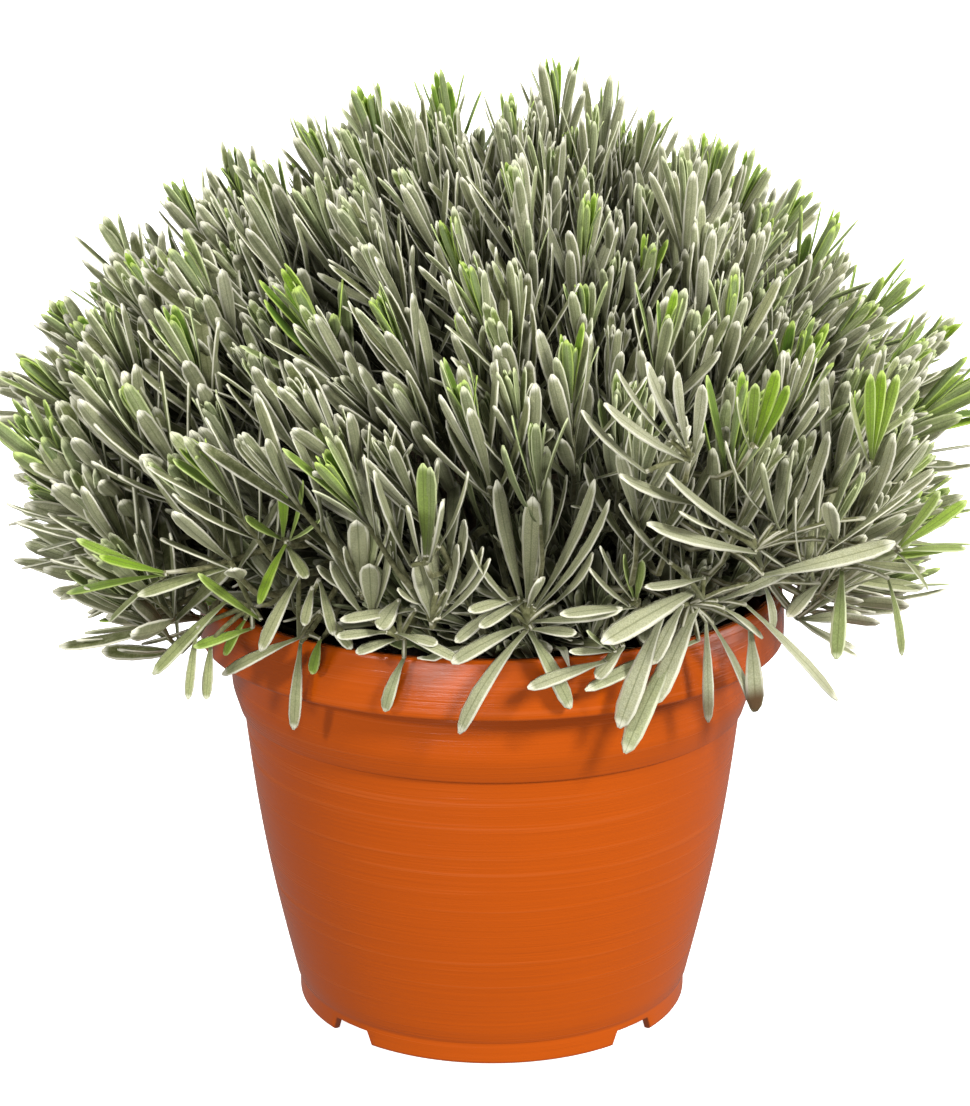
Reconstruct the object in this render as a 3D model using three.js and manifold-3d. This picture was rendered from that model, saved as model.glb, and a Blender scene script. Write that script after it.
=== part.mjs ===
// A bushy lavender in a plastic nursery pot, not in flower. Millimetres, +Z up.
// The origin is on the ground, at the centre of the pot's foot. The side most often seen faces -Y.
//
// The pot is a thin shell with an overhanging rim, a plain band under it and a notched foot.
// Potting mix fills it to below the rim. A woody crown stands in a plain hole in the mix, and its
// limbs fan out like pins in a cushion. Each limb carries one leafy bough, face to face, and each
// bough forks into leafy shoots that end in a tuft of young leaves.
import * as THREE from "three";
import { mergeVertices } from "three/addons/utils/BufferGeometryUtils.js";
import Module from "manifold-3d";

const wasm = await Module();
wasm.setup();

// Pot
const RIM_RADIUS = 95;
const POT_HEIGHT = 144;
const RIM_BAND = 19; // height of the overhanging rim
const BAND_RADIUS = 85.5;
const BAND_FOOT = 101.5; // lower edge of the plain band under the rim
const BAND_STEP = 1.2; // how far the band stands out from the body
const BODY_TOP_RADIUS = 81.4;
const BODY_BULGE = 1.8; // the body is fuller than a straight cone
const FOOT_RADIUS = 64.7;
const FOOT_TALL = 8; // the upright skirt round the foot
const FOOT_LEDGE = 1.7; // how wide the feet's flat undersides are
const WALL = 1.9;
const ROUNDING = 1.5; // of the rim's and the foot's edges
const FLOOR_HEIGHT = 7; // underside of the pot's floor
const POT_SIDES = 40;
const NOTCHES = 4;
const NOTCH_WIDE = 17;
const NOTCH_TALL = 4.7;
const DRAIN_RADIUS = 5;
const DRAIN_RING = 42;

// Potting mix
const MIX_TOP = 129;
const MIX_RISE = 4; // towards the plant
const MIX_SHOULDER = 0.6; // how far out the mix starts to rise, as a share of its radius
const MIX_SIDES = POT_SIDES / 2; // its corners lie on the pot's, so the gap is even
const GAP = 0.3; // between pieces that touch

// Woody crown
const STUMP_FOOT = 92;
const STUMP_RADIUS = 9;
const KNOB_RADIUS = 13;
const KNOB_HEIGHT = 139;
const LIMB_RADIUS = 2.1;

// Bush: shoots end on an outline round HEART, at a reach that depends on the climb above the horizon
const HEART = new THREE.Vector3(-2.2, 4, 155);
const OUTLINE = [
  [-30, 100],
  [-14, 112],
  [2, 139],
  [20, 158],
  [40, 147],
  [62, 143],
  [90, 144],
];
const RAGGED = 0.045; // how unevenly the shoots reach the outline
const CLIMB_VARIES = 3; // degrees either way
const TURN_VARIES = 4;
const LEAN_VARIES = 7;
const FACING_VARIES = 14;
const LOWEST_CLIMB = -5;
const BOUGHS = 50;
const SHOOTS = 204;
const SPACING = 21; // least room left round a shoot that is placed by hand

// Shoots placed by hand: turn round the pot from +X and climb, in degrees, and share of the reach
const BY_HAND = [
  [25, 81, 1.1],
  [147, 83, 1.08],
  [160, 74, 1.02],
  [174, 56, 1.01],
  [-166, 40, 1],
  [178, 29, 1.02],
  [-174, 20, 1.01],
  [-28, 75, 1],
  [7, 59, 1.01],
  [1, 43, 1.04],
  [-11, 27, 1],
  [-124, 22, 1],
  [-107, 22, 1],
  [-84, 24, 1],
  [-79, 36, 1],
  [-93, 31, 1],
  [-57, 28, 1],
  [-38, 25, 1],
  [-50, 41, 1],
  [-68, 56, 1],
  [-66, 11, 1],
  [-21, 9, 1],
  [-140, 8, 1],
];

// How a shoot leans away from upright: its share of the angle from the bush's top, which grows
// down the bush and towards the two sides
const LEAN = 0.38;
const LEAN_GROWS = 0.0035;
const LEAN_SIDEWAYS = 0.15;

// The front, towards -Y: there the lowest shoots climb more and stand straighter, over the rim
const FRONT_BEGINS = 0.26; // sines of the turn where the front begins and where it is full
const FRONT_FULL = 0.64;
const FRONT_LOWEST = 7;
const FRONT_UPRIGHT = 0.45;

// How far along its way from the knob a bough starts and forks, and the least heights there
const BOUGH_START = 0.34;
const BOUGH_FORK = 0.46;
const LEAST_START = 153;
const OVER_RIM = 159;
const ARCH = 3; // how far a low shoot's stem rises above that on its way over the rim

// Shoots: distances back from the tip, and the leaves in two whorls of three
const STEM_RADIUS = 1.5;
const BOUGH_RADIUS = 1.8;
const TUFT_FOOT = 17;
const TUFT_RADIUS = 2.3;
const WHORL_TALL = 6.5;
const WHORLS = [
  { long: 35, lean: 58, curl: 14 },
  { long: 27, lean: 28, curl: 9 },
];
const LEAF_VARIES = 0.12; // in length, as a share
const LEAF_WIDE = 5.9;
const LEAF_THICK = 1.4;
const LEAF_WIDEST = 0.6; // along the leaf
const BENDS = [0, -8, 8, -16, 16]; // degrees that a leaf may bend to find room
const CLEAR = 0.3; // room kept round stems and leaves

const GOLDEN_TURN = Math.PI * (3 - Math.sqrt(5));
const SIDES = 3; // of stems
const STEP_TURN = Math.PI / SIDES;
const FORK_STEPS = 3; // stretches of a bough's stem that shoots can branch out of
const GOOD_LOOK = 0.6; // how well a face must look a shoot's way, as a cosine
const LEVEL_COUNTS = 0.15; // how much a seat's level counts beside that
const TOUCH = 1e-6; // cubic millimetres that two touching solids may seem to share
const ACROSS = new THREE.Vector3(0.6, 0.8, 0.01); // where the first corner of a bough's rings looks
const { degToRad: rad, radToDeg: deg, lerp, smoothstep } = THREE.MathUtils;

// A repeatable draw from 0 to 1: the same item and draw always give the same value
function chance(item, draw) {
  const wave = Math.sin(item * 12.9898 + draw * 78.233) * 43758.5453;
  return wave - Math.floor(wave);
}

const spread = (item, draw, amount) => (2 * chance(item, draw) - 1) * amount;

// Solids and geometries
function solid(geometry) {
  const plain = geometry.clone();
  plain.deleteAttribute("normal");
  plain.deleteAttribute("uv");
  const merged = mergeVertices(plain, 1e-4);
  return new wasm.Manifold(
    new wasm.Mesh({
      numProp: 3,
      vertProperties: merged.getAttribute("position").array,
      triVerts: new Uint32Array(merged.index.array),
    }),
  );
}

function geometryOf(made) {
  const mesh = made.getMesh();
  const geometry = new THREE.BufferGeometry();
  geometry.setAttribute("position", new THREE.BufferAttribute(mesh.vertProperties, 3));
  geometry.setIndex(new THREE.BufferAttribute(mesh.triVerts, 1));
  return geometry;
}

function lathe(points, sides) {
  const profile = points.map(([r, z]) => new THREE.Vector2(r, z));
  return solid(new THREE.LatheGeometry(profile, sides).rotateX(Math.PI / 2));
}

const along = (from, way, distance) => from.clone().addScaledVector(way, distance);
const mean = (points) =>
  points.reduce((sum, point) => sum.add(point), new THREE.Vector3()).divideScalar(points.length);
const squareTo = (way, hint) => along(hint, way, -hint.dot(way)).normalize();

// Rings of three corners at stations along a stem. Each ring is turned half a step from the last,
// so that every face between two rings is a triangle that a branch or a leaf can grow out of.
function ringsAlong(stations, hint) {
  let side = hint;
  return stations.map(({ centre, way, radius }) => {
    side = squareTo(way, side).applyAxisAngle(way, STEP_TURN);
    if (radius === 0) return [centre];
    return Array.from({ length: SIDES }, (_, i) =>
      along(centre, side.clone().applyAxisAngle(way, 2 * i * STEP_TURN), radius),
    );
  });
}

// A closed skin of triangles that grows from a first ring
class Skin {
  points = [];
  faces = [];

  constructor(ring, rings, branchAt) {
    const first = this.add(ring);
    this.faces.push([...first].reverse());
    const last = this.extend(first, rings, branchAt);
    if (last.length > 1) this.faces.push(last);
  }

  add(ring) {
    return ring.map((point) => this.points.push(point) - 1);
  }

  // Goes on from a foot of three corners through rings, the last of which may be a single point.
  // branchAt gives the branch, if any, that grows out of a face on side i below ring k: the one
  // whose base is low, on the ring below, or the one whose base is high, on ring k.
  extend(foot, rings, branchAt = () => null) {
    let below = foot;
    rings.forEach((ring, k) => {
      const row = this.add(ring);
      for (let i = 0; i < SIDES; i++) {
        const [a, b] = [below[i], below[(i + 1) % SIDES]];
        const [c, d] = [row[i % row.length], row[(i + 1) % row.length]];
        this.cover([a, b, c], branchAt(k, i, "low"));
        if (row.length > 1) this.cover([b, d, c], branchAt(k, i, "high"));
      }
      below = row;
    });
    return below;
  }

  cover(foot, branch) {
    if (branch) this.extend(foot, branch.rings, branch.branchAt);
    else this.faces.push(foot);
  }

  solid() {
    return solid(new THREE.BufferGeometry().setFromPoints(this.points).setIndex(this.faces.flat()));
  }
}

// A leaf is a three-sided blade: flat above, a low rib below, widest past its middle, and bent
// once there. swell makes it fatter all round, to test whether it is clear.
function leafRings({ root, out, face, long, curl }, swell = 0) {
  const side = new THREE.Vector3().crossVectors(face, out);
  const middle = along(root, out, long * LEAF_WIDEST);
  const top = along(middle, face, swell);
  const half = LEAF_WIDE / 2 + swell;
  const rest = long * (1 - LEAF_WIDEST) + swell;
  const tip = along(along(middle, out, rest * Math.cos(curl)), face, rest * Math.sin(curl));
  const rib = along(middle, face, -LEAF_THICK - swell);
  return [[rib, along(top, side, half), along(top, side, -half)], [tip]];
}

const swollenLeaf = (leaf) => new Skin(leaf.foot, leafRings(leaf, CLEAR)).solid();

// Pot
function potOutside() {
  const body = [0, 0.16, 0.36, 0.62, 1].map((share) => [
    lerp(FOOT_RADIUS + 1, BODY_TOP_RADIUS, share) + BODY_BULGE * Math.sin(Math.PI * share),
    lerp(FOOT_TALL + 1, BAND_FOOT - 1, share),
  ]);
  const rimFoot = POT_HEIGHT - RIM_BAND;
  return [
    [FOOT_RADIUS - ROUNDING, 0],
    [FOOT_RADIUS, ROUNDING],
    ...body,
    [BODY_TOP_RADIUS + BAND_STEP, BAND_FOOT],
    [BAND_RADIUS - ROUNDING / 2, lerp(BAND_FOOT, rimFoot, 0.3)],
    [BAND_RADIUS, rimFoot + ROUNDING],
    [RIM_RADIUS - ROUNDING, rimFoot],
    [RIM_RADIUS, rimFoot + ROUNDING],
    [RIM_RADIUS - ROUNDING / 4, POT_HEIGHT - ROUNDING],
    [RIM_RADIUS - ROUNDING, POT_HEIGHT],
  ];
}

// The inside of the wall, from the floor up to under the rim, which the potting mix follows too.
// It needs every second point of the body, and all of the band.
function potInside(shrink = 0) {
  return potOutside()
    .filter(([r, z]) => z > FLOOR_HEIGHT + WALL && r <= BAND_RADIUS)
    .filter(([, z], i) => i % 2 === 0 || z > BAND_FOOT - 1)
    .map(([r, z]) => [r - WALL - shrink, z]);
}

function makePot() {
  const floorTop = FLOOR_HEIGHT + WALL;
  const inside = potInside().reverse();
  const shell = lathe(
    [
      [0, FLOOR_HEIGHT],
      [FOOT_RADIUS - 2 * WALL, FLOOR_HEIGHT],
      [FOOT_RADIUS - ROUNDING - FOOT_LEDGE, 0],
      ...potOutside(),
      [RIM_RADIUS - ROUNDING - WALL, POT_HEIGHT],
      [RIM_RADIUS - WALL, POT_HEIGHT - RIM_BAND + ROUNDING + WALL],
      ...inside,
      [inside.at(-1)[0] - 1, floorTop],
      [0, floorTop],
    ],
    POT_SIDES,
  );
  const cuts = [];
  for (let i = 0; i < NOTCHES; i++) {
    const turn = ((i + 0.5) * 2 * Math.PI) / NOTCHES;
    const notch = new THREE.BoxGeometry(6 * WALL, NOTCH_WIDE, 2 * NOTCH_TALL);
    cuts.push(solid(notch.translate(FOOT_RADIUS, 0, 0).rotateZ(turn)));
    const drain = new THREE.CylinderGeometry(DRAIN_RADIUS, DRAIN_RADIUS, 4 * WALL, 8);
    drain.rotateX(Math.PI / 2).translate(DRAIN_RING, 0, FLOOR_HEIGHT);
    cuts.push(solid(drain.rotateZ(turn)));
  }
  return shell.subtract(wasm.Manifold.union(cuts));
}

// Potting mix, with a plain hole for the crown
function makeMix() {
  const bottom = FLOOR_HEIGHT + WALL + GAP;
  const [[footRadius], ...inside] = potInside(GAP);
  const wall = inside.filter(([, z]) => z < MIX_TOP);
  const [edge] = wall.at(-1);
  const hole = STUMP_RADIUS + GAP;
  return lathe(
    [
      [0, bottom],
      [footRadius - 1, bottom],
      ...wall,
      [edge, MIX_TOP],
      [edge * MIX_SHOULDER, MIX_TOP + MIX_RISE * MIX_SHOULDER],
      [hole, MIX_TOP + MIX_RISE],
      [hole, STUMP_FOOT - GAP],
      [0, STUMP_FOOT - GAP],
    ],
    MIX_SIDES,
  );
}

// How far shoots reach from HEART at a climb, eased between OUTLINE's points
function reachAt(climb) {
  const at = deg(climb);
  const above = OUTLINE.findIndex(([height], i) => i > 0 && at < height);
  const k = above > 0 ? above : OUTLINE.length - 1;
  const [[low, near], [high, far]] = [OUTLINE[k - 1], OUTLINE[k]];
  return lerp(near, far, smoothstep(at, low, high));
}

function outward(climb, turn) {
  const flat = Math.cos(climb);
  return new THREE.Vector3(flat * Math.cos(turn), flat * Math.sin(turn), Math.sin(climb));
}

const frontness = (turn) => smoothstep(-Math.sin(turn), FRONT_BEGINS, FRONT_FULL);

// Place i of n, spread evenly over the bush from its top down to LOWEST_CLIMB or FRONT_LOWEST
function evenly(i, n) {
  const rise = 1 - ((i + 0.5) / n) * (1 - Math.sin(rad(LOWEST_CLIMB)));
  const turn = i * GOLDEN_TURN;
  const fromTop = 90 - deg(Math.asin(rise));
  const lowest = lerp(LOWEST_CLIMB, FRONT_LOWEST, frontness(turn));
  return { climb: rad(90 - (fromTop * (90 - lowest)) / (90 - LOWEST_CLIMB)), turn };
}

// A shoot's tip and the way it points
function shootAt(item, climb, turn, share) {
  const tip = outward(climb, turn).multiplyScalar(reachAt(climb) * share).add(HEART);
  const fromTop = 90 - deg(climb);
  const sideways = 1 + LEAN_SIDEWAYS * Math.cos(turn) ** 2;
  const upright = 1 - FRONT_UPRIGHT * frontness(turn);
  const leaning = fromTop * (LEAN + LEAN_GROWS * fromTop) * sideways * upright;
  const lean = rad(leaning + spread(item, 4, LEAN_VARIES));
  const heading = outward(Math.PI / 2 - lean, turn + rad(spread(item, 5, FACING_VARIES)));
  return { item, tip, heading };
}

function placeShoots() {
  const shoots = BY_HAND.map(([turn, climb, share], i) => shootAt(i, rad(climb), rad(turn), share));
  const byHand = [...shoots];
  for (let i = 0; i < SHOOTS; i++) {
    const item = BY_HAND.length + i;
    const place = evenly(i, SHOOTS);
    const climb = place.climb + rad(spread(item, 1, CLIMB_VARIES));
    const turn = place.turn + rad(spread(item, 2, TURN_VARIES)) / Math.max(0.3, Math.cos(climb));
    const shoot = shootAt(item, climb, turn, 1 + spread(item, 3, RAGGED));
    if (byHand.every((other) => other.tip.distanceTo(shoot.tip) > SPACING)) shoots.push(shoot);
  }
  return shoots;
}

// A bough starts where its limb ends and runs on to its fork, with a face on each side of each
// stretch that a shoot can branch out of
function boughAt(b) {
  const { climb, turn } = evenly(b, BOUGHS);
  const knob = new THREE.Vector3(0, 0, KNOB_HEIGHT);
  const middle = outward(climb, turn).multiplyScalar(reachAt(climb)).add(HEART);
  const start = knob.clone().lerp(middle, BOUGH_START);
  start.z = Math.max(start.z, LEAST_START);
  const fork = knob.clone().lerp(middle, BOUGH_FORK);
  fork.z = Math.max(fork.z, OVER_RIM);
  const way = fork.clone().sub(start).normalize();
  const stations = [];
  for (let k = 0; k <= FORK_STEPS; k++) {
    const centre = along(start, way, GAP).lerp(fork, k / FORK_STEPS);
    stations.push({ centre, way, radius: BOUGH_RADIUS });
  }
  return { knob, middle, start, fork, way, rings: ringsAlong(stations, ACROSS), shoots: [] };
}

// Each shoot goes to the nearest bough. The one that goes straightest on leads, and each of the
// others branches out of the free face that looks its way best.
function shareOut(shoots) {
  const boughs = Array.from({ length: BOUGHS }, (_, b) => boughAt(b));
  for (const shoot of shoots) {
    const away = (bough) => bough.middle.distanceTo(shoot.tip);
    boughs.reduce((best, bough) => (away(bough) < away(best) ? bough : best)).shoots.push(shoot);
  }
  return boughs.filter((bough) => bough.shoots.length > 0);
}

// The seats that a bough has for its shoots, which are its free faces, best first for each shoot
function seatsOf({ rings }) {
  return rings.slice(1).flatMap((ring, k) =>
    ring.flatMap((c, i) => {
      const [a, b, d] = [rings[k][i], rings[k][(i + 1) % SIDES], ring[(i + 1) % SIDES]];
      return [
        { k, i, base: "low", foot: [a, b, c] },
        { k, i, base: "high", foot: [b, d, c] },
      ];
    }),
  );
}

function bestSeats(seats, shoot, rank, { way, fork, rings }) {
  const toFoot = shootFoot(shoot).sub(fork).normalize();
  const looks = ({ foot }) => squareTo(way, mean(foot).sub(fork)).dot(squareTo(way, toFoot));
  const rate = (seat) => looks(seat) - LEVEL_COUNTS * Math.abs(seat.k - FORK_STEPS + rank);
  const best = seats.filter((seat) => looks(seat) > GOOD_LOOK).sort((s, t) => rate(t) - rate(s));
  const centre = mean(rings[Math.max(1, FORK_STEPS - rank)]);
  const [sunkFoot] = ringsAlong([{ centre, way: toFoot, radius: STEM_RADIUS }], ACROSS);
  return [...best, { foot: sunkFoot, sunk: true }];
}

// What has grown so far, each with its owner and box
const grown = [];

function grow(owner, made) {
  grown.push({ owner, made, box: made.boundingBox() });
}

const boxesMeet = (a, b) => [0, 1, 2].every((k) => a.min[k] < b.max[k] && b.min[k] < a.max[k]);

// Whether a solid keeps clear of everything grown, by the room that its swollen twin takes, and
// doesn't cross its own kind, which it may touch. One that is to be sunk in its own has no made.
function isClear(made, swollen, isOwn) {
  const box = swollen.boundingBox();
  return grown.every(({ owner, made: other, box: otherBox }) => {
    if (!boxesMeet(box, otherBox)) return true;
    if (isOwn(owner)) return !made || made.intersect(other).volume() < TOUCH;
    return swollen.intersect(other).isEmpty();
  });
}

// Where a shoot's leafy stretch begins
function shootFoot({ tip, heading }) {
  return along(tip, heading, -TUFT_FOOT - WHORLS.length * WHORL_TALL);
}

// The rings of a shoot above its seat: over the rim where it has to, the leafy stretch, the tip
function shootRings(shoot, swell = 0) {
  const { tip, heading, seat } = shoot;
  const foot = shootFoot(shoot);
  const from = mean(seat.foot);
  const way = foot.clone().sub(from).normalize();
  const stations = [];
  if (foot.z < OVER_RIM) {
    const centre = from.clone().lerp(foot, 0.5);
    centre.z = OVER_RIM + ARCH;
    stations.push({ centre, way, radius: STEM_RADIUS + swell });
  }
  for (let k = 0; k <= WHORLS.length; k++) {
    const centre = along(foot, heading, k * WHORL_TALL);
    const turned = k === 0 ? way.clone().add(heading).normalize() : heading;
    stations.push({ centre, way: turned, radius: TUFT_RADIUS + swell });
  }
  stations.push({ centre: along(tip, heading, swell), way: heading, radius: 0 });
  return ringsAlong(stations, seat.foot[0].clone().sub(from));
}

// The leaf that grows out of the face on side i between two rings of a shoot
function leafAt(shoot, [below, above], i, whorl, bend) {
  const { heading, item } = shoot;
  const foot = [below[(i + 1) % SIDES], above[(i + 1) % SIDES], above[i]];
  const away = squareTo(heading, foot[0].clone().sub(mean(below)));
  const lean = rad(whorl.lean + bend);
  const mix = (a, b) => heading.clone().multiplyScalar(a).addScaledVector(away, b);
  return {
    foot,
    root: mean(foot),
    out: mix(Math.cos(lean), Math.sin(lean)),
    face: mix(Math.sin(lean), -Math.cos(lean)),
    long: whorl.long * (1 + spread(item, 10 + whorl.long + i, LEAF_VARIES)),
    curl: rad(whorl.curl),
  };
}

// Stems first, then leaves. A shoot that finds no room doesn't grow. A leaf that would cross
// something bends clear, and doesn't grow if it can't.
function growShoots(boughs) {
  for (const bough of boughs) {
    const [first, ...rings] = bough.rings;
    grow(bough, new Skin(first, rings).solid());
  }
  boughs.forEach(seatShoots);
  const shoots = boughs.flatMap((bough) => bough.shoots);
  WHORLS.forEach((whorl, level) => shoots.forEach((shoot) => growWhorl(shoot, whorl, level)));
}

function seatShoots(bough) {
  const { way, fork, shoots } = bough;
  const seats = seatsOf(bough);
  const ahead = (shoot) => shootFoot(shoot).sub(fork).normalize().dot(way);
  shoots.sort((s, t) => ahead(t) - ahead(s));
  bough.shoots = shoots.filter((shoot, rank) => {
    Object.assign(shoot, { bough, leaves: new Map() });
    const leads = { foot: bough.rings.at(-1), leads: true };
    const seat = (rank === 0 ? [leads] : bestSeats(seats, shoot, rank, bough)).find((tried) => {
      shoot.seat = tried;
      const isOwn = (owner) => (owner.bough ?? owner) === bough;
      const made = tried.sunk ? null : new Skin(tried.foot, shootRings(shoot)).solid();
      const swollen = new Skin(tried.foot, shootRings(shoot, CLEAR)).solid();
      return isClear(made, swollen, isOwn);
    });
    if (!seat) return false;
    if (seats.includes(seat)) seats.splice(seats.indexOf(seat), 1);
    grow(shoot, new Skin(seat.foot, shootRings(shoot)).solid());
    return true;
  });
}

function growWhorl(shoot, whorl, level) {
  const rings = shootRings(shoot);
  const k = rings.length - 1 - WHORLS.length + level;
  for (let i = 0; i < SIDES; i++) {
    for (const bend of BENDS) {
      const leaf = leafAt(shoot, rings.slice(k - 1, k + 1), i, whorl, bend);
      const made = new Skin(leaf.foot, leafRings(leaf)).solid();
      if (!isClear(made, swollenLeaf(leaf), (owner) => owner === shoot)) continue;
      shoot.leaves.set(`${k} ${i} high`, { rings: leafRings(leaf) });
      grow(shoot, made);
      break;
    }
  }
}

function makeBough({ rings: [first, ...rings], shoots }) {
  const branches = shoots.map((shoot) => ({
    ...shoot.seat,
    rings: shootRings(shoot),
    branchAt: (k, i, base) => shoot.leaves.get(`${k} ${i} ${base}`),
  }));
  const leader = branches.find(({ leads }) => leads) ?? { rings: [] };
  const main = new Skin(first, [...rings, ...leader.rings], (k, i, base) =>
    k < rings.length
      ? branches.find((branch) => branch.k === k && branch.i === i && branch.base === base)
      : leader.branchAt(k - rings.length, i, base),
  );
  const sunk = branches
    .filter((branch) => branch.sunk)
    .map((branch) => new Skin(branch.foot, branch.rings, branch.branchAt));
  return wholeOf(wasm.Manifold.union([main, ...sunk].map((skin) => skin.solid())));
}

// The largest body of a joined solid, without scraps or sealed hollows
function wholeOf(made) {
  return made.decompose().reduce((a, b) => (a.volume() > b.volume() ? a : b));
}

// Woody crown: a stump with a knob, and a limb to each bough
function makeCrown(boughs) {
  const stump = lathe(
    [
      [0, STUMP_FOOT],
      [STUMP_RADIUS, STUMP_FOOT],
      [STUMP_RADIUS, MIX_TOP + MIX_RISE],
      [KNOB_RADIUS, KNOB_HEIGHT],
      [0, KNOB_HEIGHT + KNOB_RADIUS],
    ],
    MIX_SIDES / 2,
  );
  const limbs = boughs.map(({ knob, start, way }) => {
    const slope = start.clone().sub(knob).normalize();
    const stations = [
      { centre: along(knob, slope, KNOB_RADIUS / 2), way: slope, radius: LIMB_RADIUS },
      { centre: start, way, radius: LIMB_RADIUS },
    ];
    const [first, last] = ringsAlong(stations, ACROSS);
    return new Skin(first, [last]).solid();
  });
  return wasm.Manifold.union([stump, ...limbs]);
}

const COLOURS = {
  pot: { color: 0xc85a1e, roughness: 0.45, metalness: 0 },
  potting_mix: { color: 0x2c2018, roughness: 1, metalness: 0 },
  woody_crown: { color: 0x6b5a45, roughness: 0.9, metalness: 0 },
  bough: { color: 0x93a07a, roughness: 0.75, metalness: 0 },
};

const group = new THREE.Group();

function addPiece(name, made, look = COLOURS[name]) {
  const mesh = new THREE.Mesh(geometryOf(made), new THREE.MeshStandardMaterial(look));
  mesh.name = name;
  group.add(mesh);
}

const pot = makePot();
const mix = makeMix();
const boughs = shareOut(placeShoots());
grow("pot", pot);
grow("potting_mix", mix);
growShoots(boughs);
addPiece("pot", pot);
addPiece("potting_mix", mix);
addPiece("woody_crown", makeCrown(boughs));
boughs.forEach((bough, n) => {
  const number = String(n + 1).padStart(2, "0");
  addPiece(`bough_${number}`, makeBough(bough), COLOURS.bough);
});

export default group;
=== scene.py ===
# %% [markdown]
# # A potted lavender, dressed for its picture
#
# The imported model is the frame: its pieces have the right places and sizes, but few faces. This lesson
# puts a finer piece over each of them. Loading the frame comes first.

# %% The frame
import math

import bpy
import numpy as np
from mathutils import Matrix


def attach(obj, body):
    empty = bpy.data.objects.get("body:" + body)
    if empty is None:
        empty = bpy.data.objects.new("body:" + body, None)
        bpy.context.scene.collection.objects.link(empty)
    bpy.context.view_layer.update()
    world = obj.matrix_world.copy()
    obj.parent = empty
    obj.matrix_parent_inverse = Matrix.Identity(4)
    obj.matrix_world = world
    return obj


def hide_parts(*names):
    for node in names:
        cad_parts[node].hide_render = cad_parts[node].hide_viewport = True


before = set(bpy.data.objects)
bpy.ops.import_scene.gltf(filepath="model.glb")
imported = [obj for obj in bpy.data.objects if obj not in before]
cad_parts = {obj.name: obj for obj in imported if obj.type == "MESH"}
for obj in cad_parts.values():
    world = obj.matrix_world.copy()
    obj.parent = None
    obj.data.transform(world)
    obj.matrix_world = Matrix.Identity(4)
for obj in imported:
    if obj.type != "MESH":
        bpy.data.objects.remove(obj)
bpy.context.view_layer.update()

# %% [markdown]
# ## Seeded chance
#
# No two shoots of a plant are alike, yet the picture has to come out the same each time. So each draw is
# worked out from the number of the thing and the number of the draw, with a wave that is far too fast to
# follow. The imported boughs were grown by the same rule, which is how the leaves here find their stems.


# %% Draws
def chance(item, draw):
    """A number from 0 to 1 that looks drawn by lot, the same each time."""
    wave = np.sin(item * 12.9898 + draw * 78.233) * 43758.5453
    return wave - np.floor(wave)


def spread(item, draw, amount):
    return (2 * chance(item, draw) - 1) * amount


def held(share):
    return min(1, max(0, share))


def ease(share):
    """Turns a straight ramp from 0 to 1 into one that starts and ends softly."""
    return share * share * (3 - 2 * share)


print("the first draws are", [round(float(chance(1, draw)), 3) for draw in range(4)])

# %% [markdown]
# ## From points to a piece
#
# Everything here is worked out in millimetres as plain arrays of points, and one helper turns them into a
# mesh in metres. Modelling by hand would do for one leaf, but arrays grow thousands of leaves in a second.
# A heap gathers many small forms, so that each bough ends up as one piece with one finish.

# %% Heaps of small forms
MM = 0.001
MARKS = ("young", "tone", "under", "woody", "dry", "deep", "pale")  # what a finish may ask about a point


def unit(v):
    return v / np.linalg.norm(v, axis=-1, keepdims=True)


class Heap:
    """The points, faces, UV places and marks of many small forms."""

    def __init__(self):
        self.points, self.faces, self.uv, self.marks = [], [], [], []
        self.count = 0

    def add(self, points, faces, uv, **marks):
        points = np.asarray(points, dtype=float)
        self.faces += [face + self.count for face in faces]
        self.points.append(points)
        self.uv.append(uv)
        columns = [np.broadcast_to(marks.get(mark, 0.0), len(points)) for mark in MARKS]
        self.marks.append(np.stack(columns, axis=1))
        self.count += len(points)


print("a point can carry the marks", MARKS)

# %% [markdown]
# Blender fills a mesh from whole arrays in one go, which is far quicker than adding face after face. The
# piece is then given its finish and its slot, rides on the plant's only body, and the packed solids it
# stands in for are hidden.


# %% A heap becomes a piece
def add_piece(name, heap, finish, nodes=()):
    points, uv, marks = (np.concatenate(rows) for rows in (heap.points, heap.uv, heap.marks))
    corners = np.concatenate([face.ravel() for face in heap.faces])
    sizes = np.concatenate([np.full(len(face), face.shape[1]) for face in heap.faces])
    starts = np.concatenate([[0], np.cumsum(sizes)[:-1]])
    mesh = bpy.data.meshes.new(name)
    mesh.vertices.add(len(points))
    mesh.vertices.foreach_set("co", (points * MM).astype(np.float32).ravel())
    mesh.loops.add(len(corners))
    mesh.loops.foreach_set("vertex_index", corners.astype(np.int32))
    mesh.polygons.add(len(sizes))
    mesh.polygons.foreach_set("loop_start", starts.astype(np.int32))
    mesh.update(calc_edges=True)
    mesh.shade_smooth()
    mesh.uv_layers.new(name="UVMap").data.foreach_set("uv", uv[corners].astype(np.float32).ravel())
    for column, mark in enumerate(MARKS):
        values = mesh.attributes.new(mark, "FLOAT", "POINT").data
        values.foreach_set("value", marks[:, column].astype(np.float32))
    mesh.materials.append(finish)
    piece = bpy.data.objects.new(name, mesh)
    bpy.context.scene.collection.objects.link(piece)
    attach(piece, "root")
    if nodes:
        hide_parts(*nodes)
    return piece


def triangles(piece):
    return sum(len(polygon.vertices) - 2 for polygon in piece.data.polygons)


print("the scene holds", len(bpy.data.meshes), "meshes before the first piece")

# %% [markdown]
# ## Tubes and turned forms
#
# Stems are round bars that bend, and the pot is a profile turned about its axis. A curve with a bevel or a
# spin tool would give both. Rings of points are used for the two of them here, because a ring can then be
# bent out of round where a notch or a knot in the bark needs it.


# %% Rings
def round_turn(sides):
    return np.arange(sides) * 2 * np.pi / sides


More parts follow.
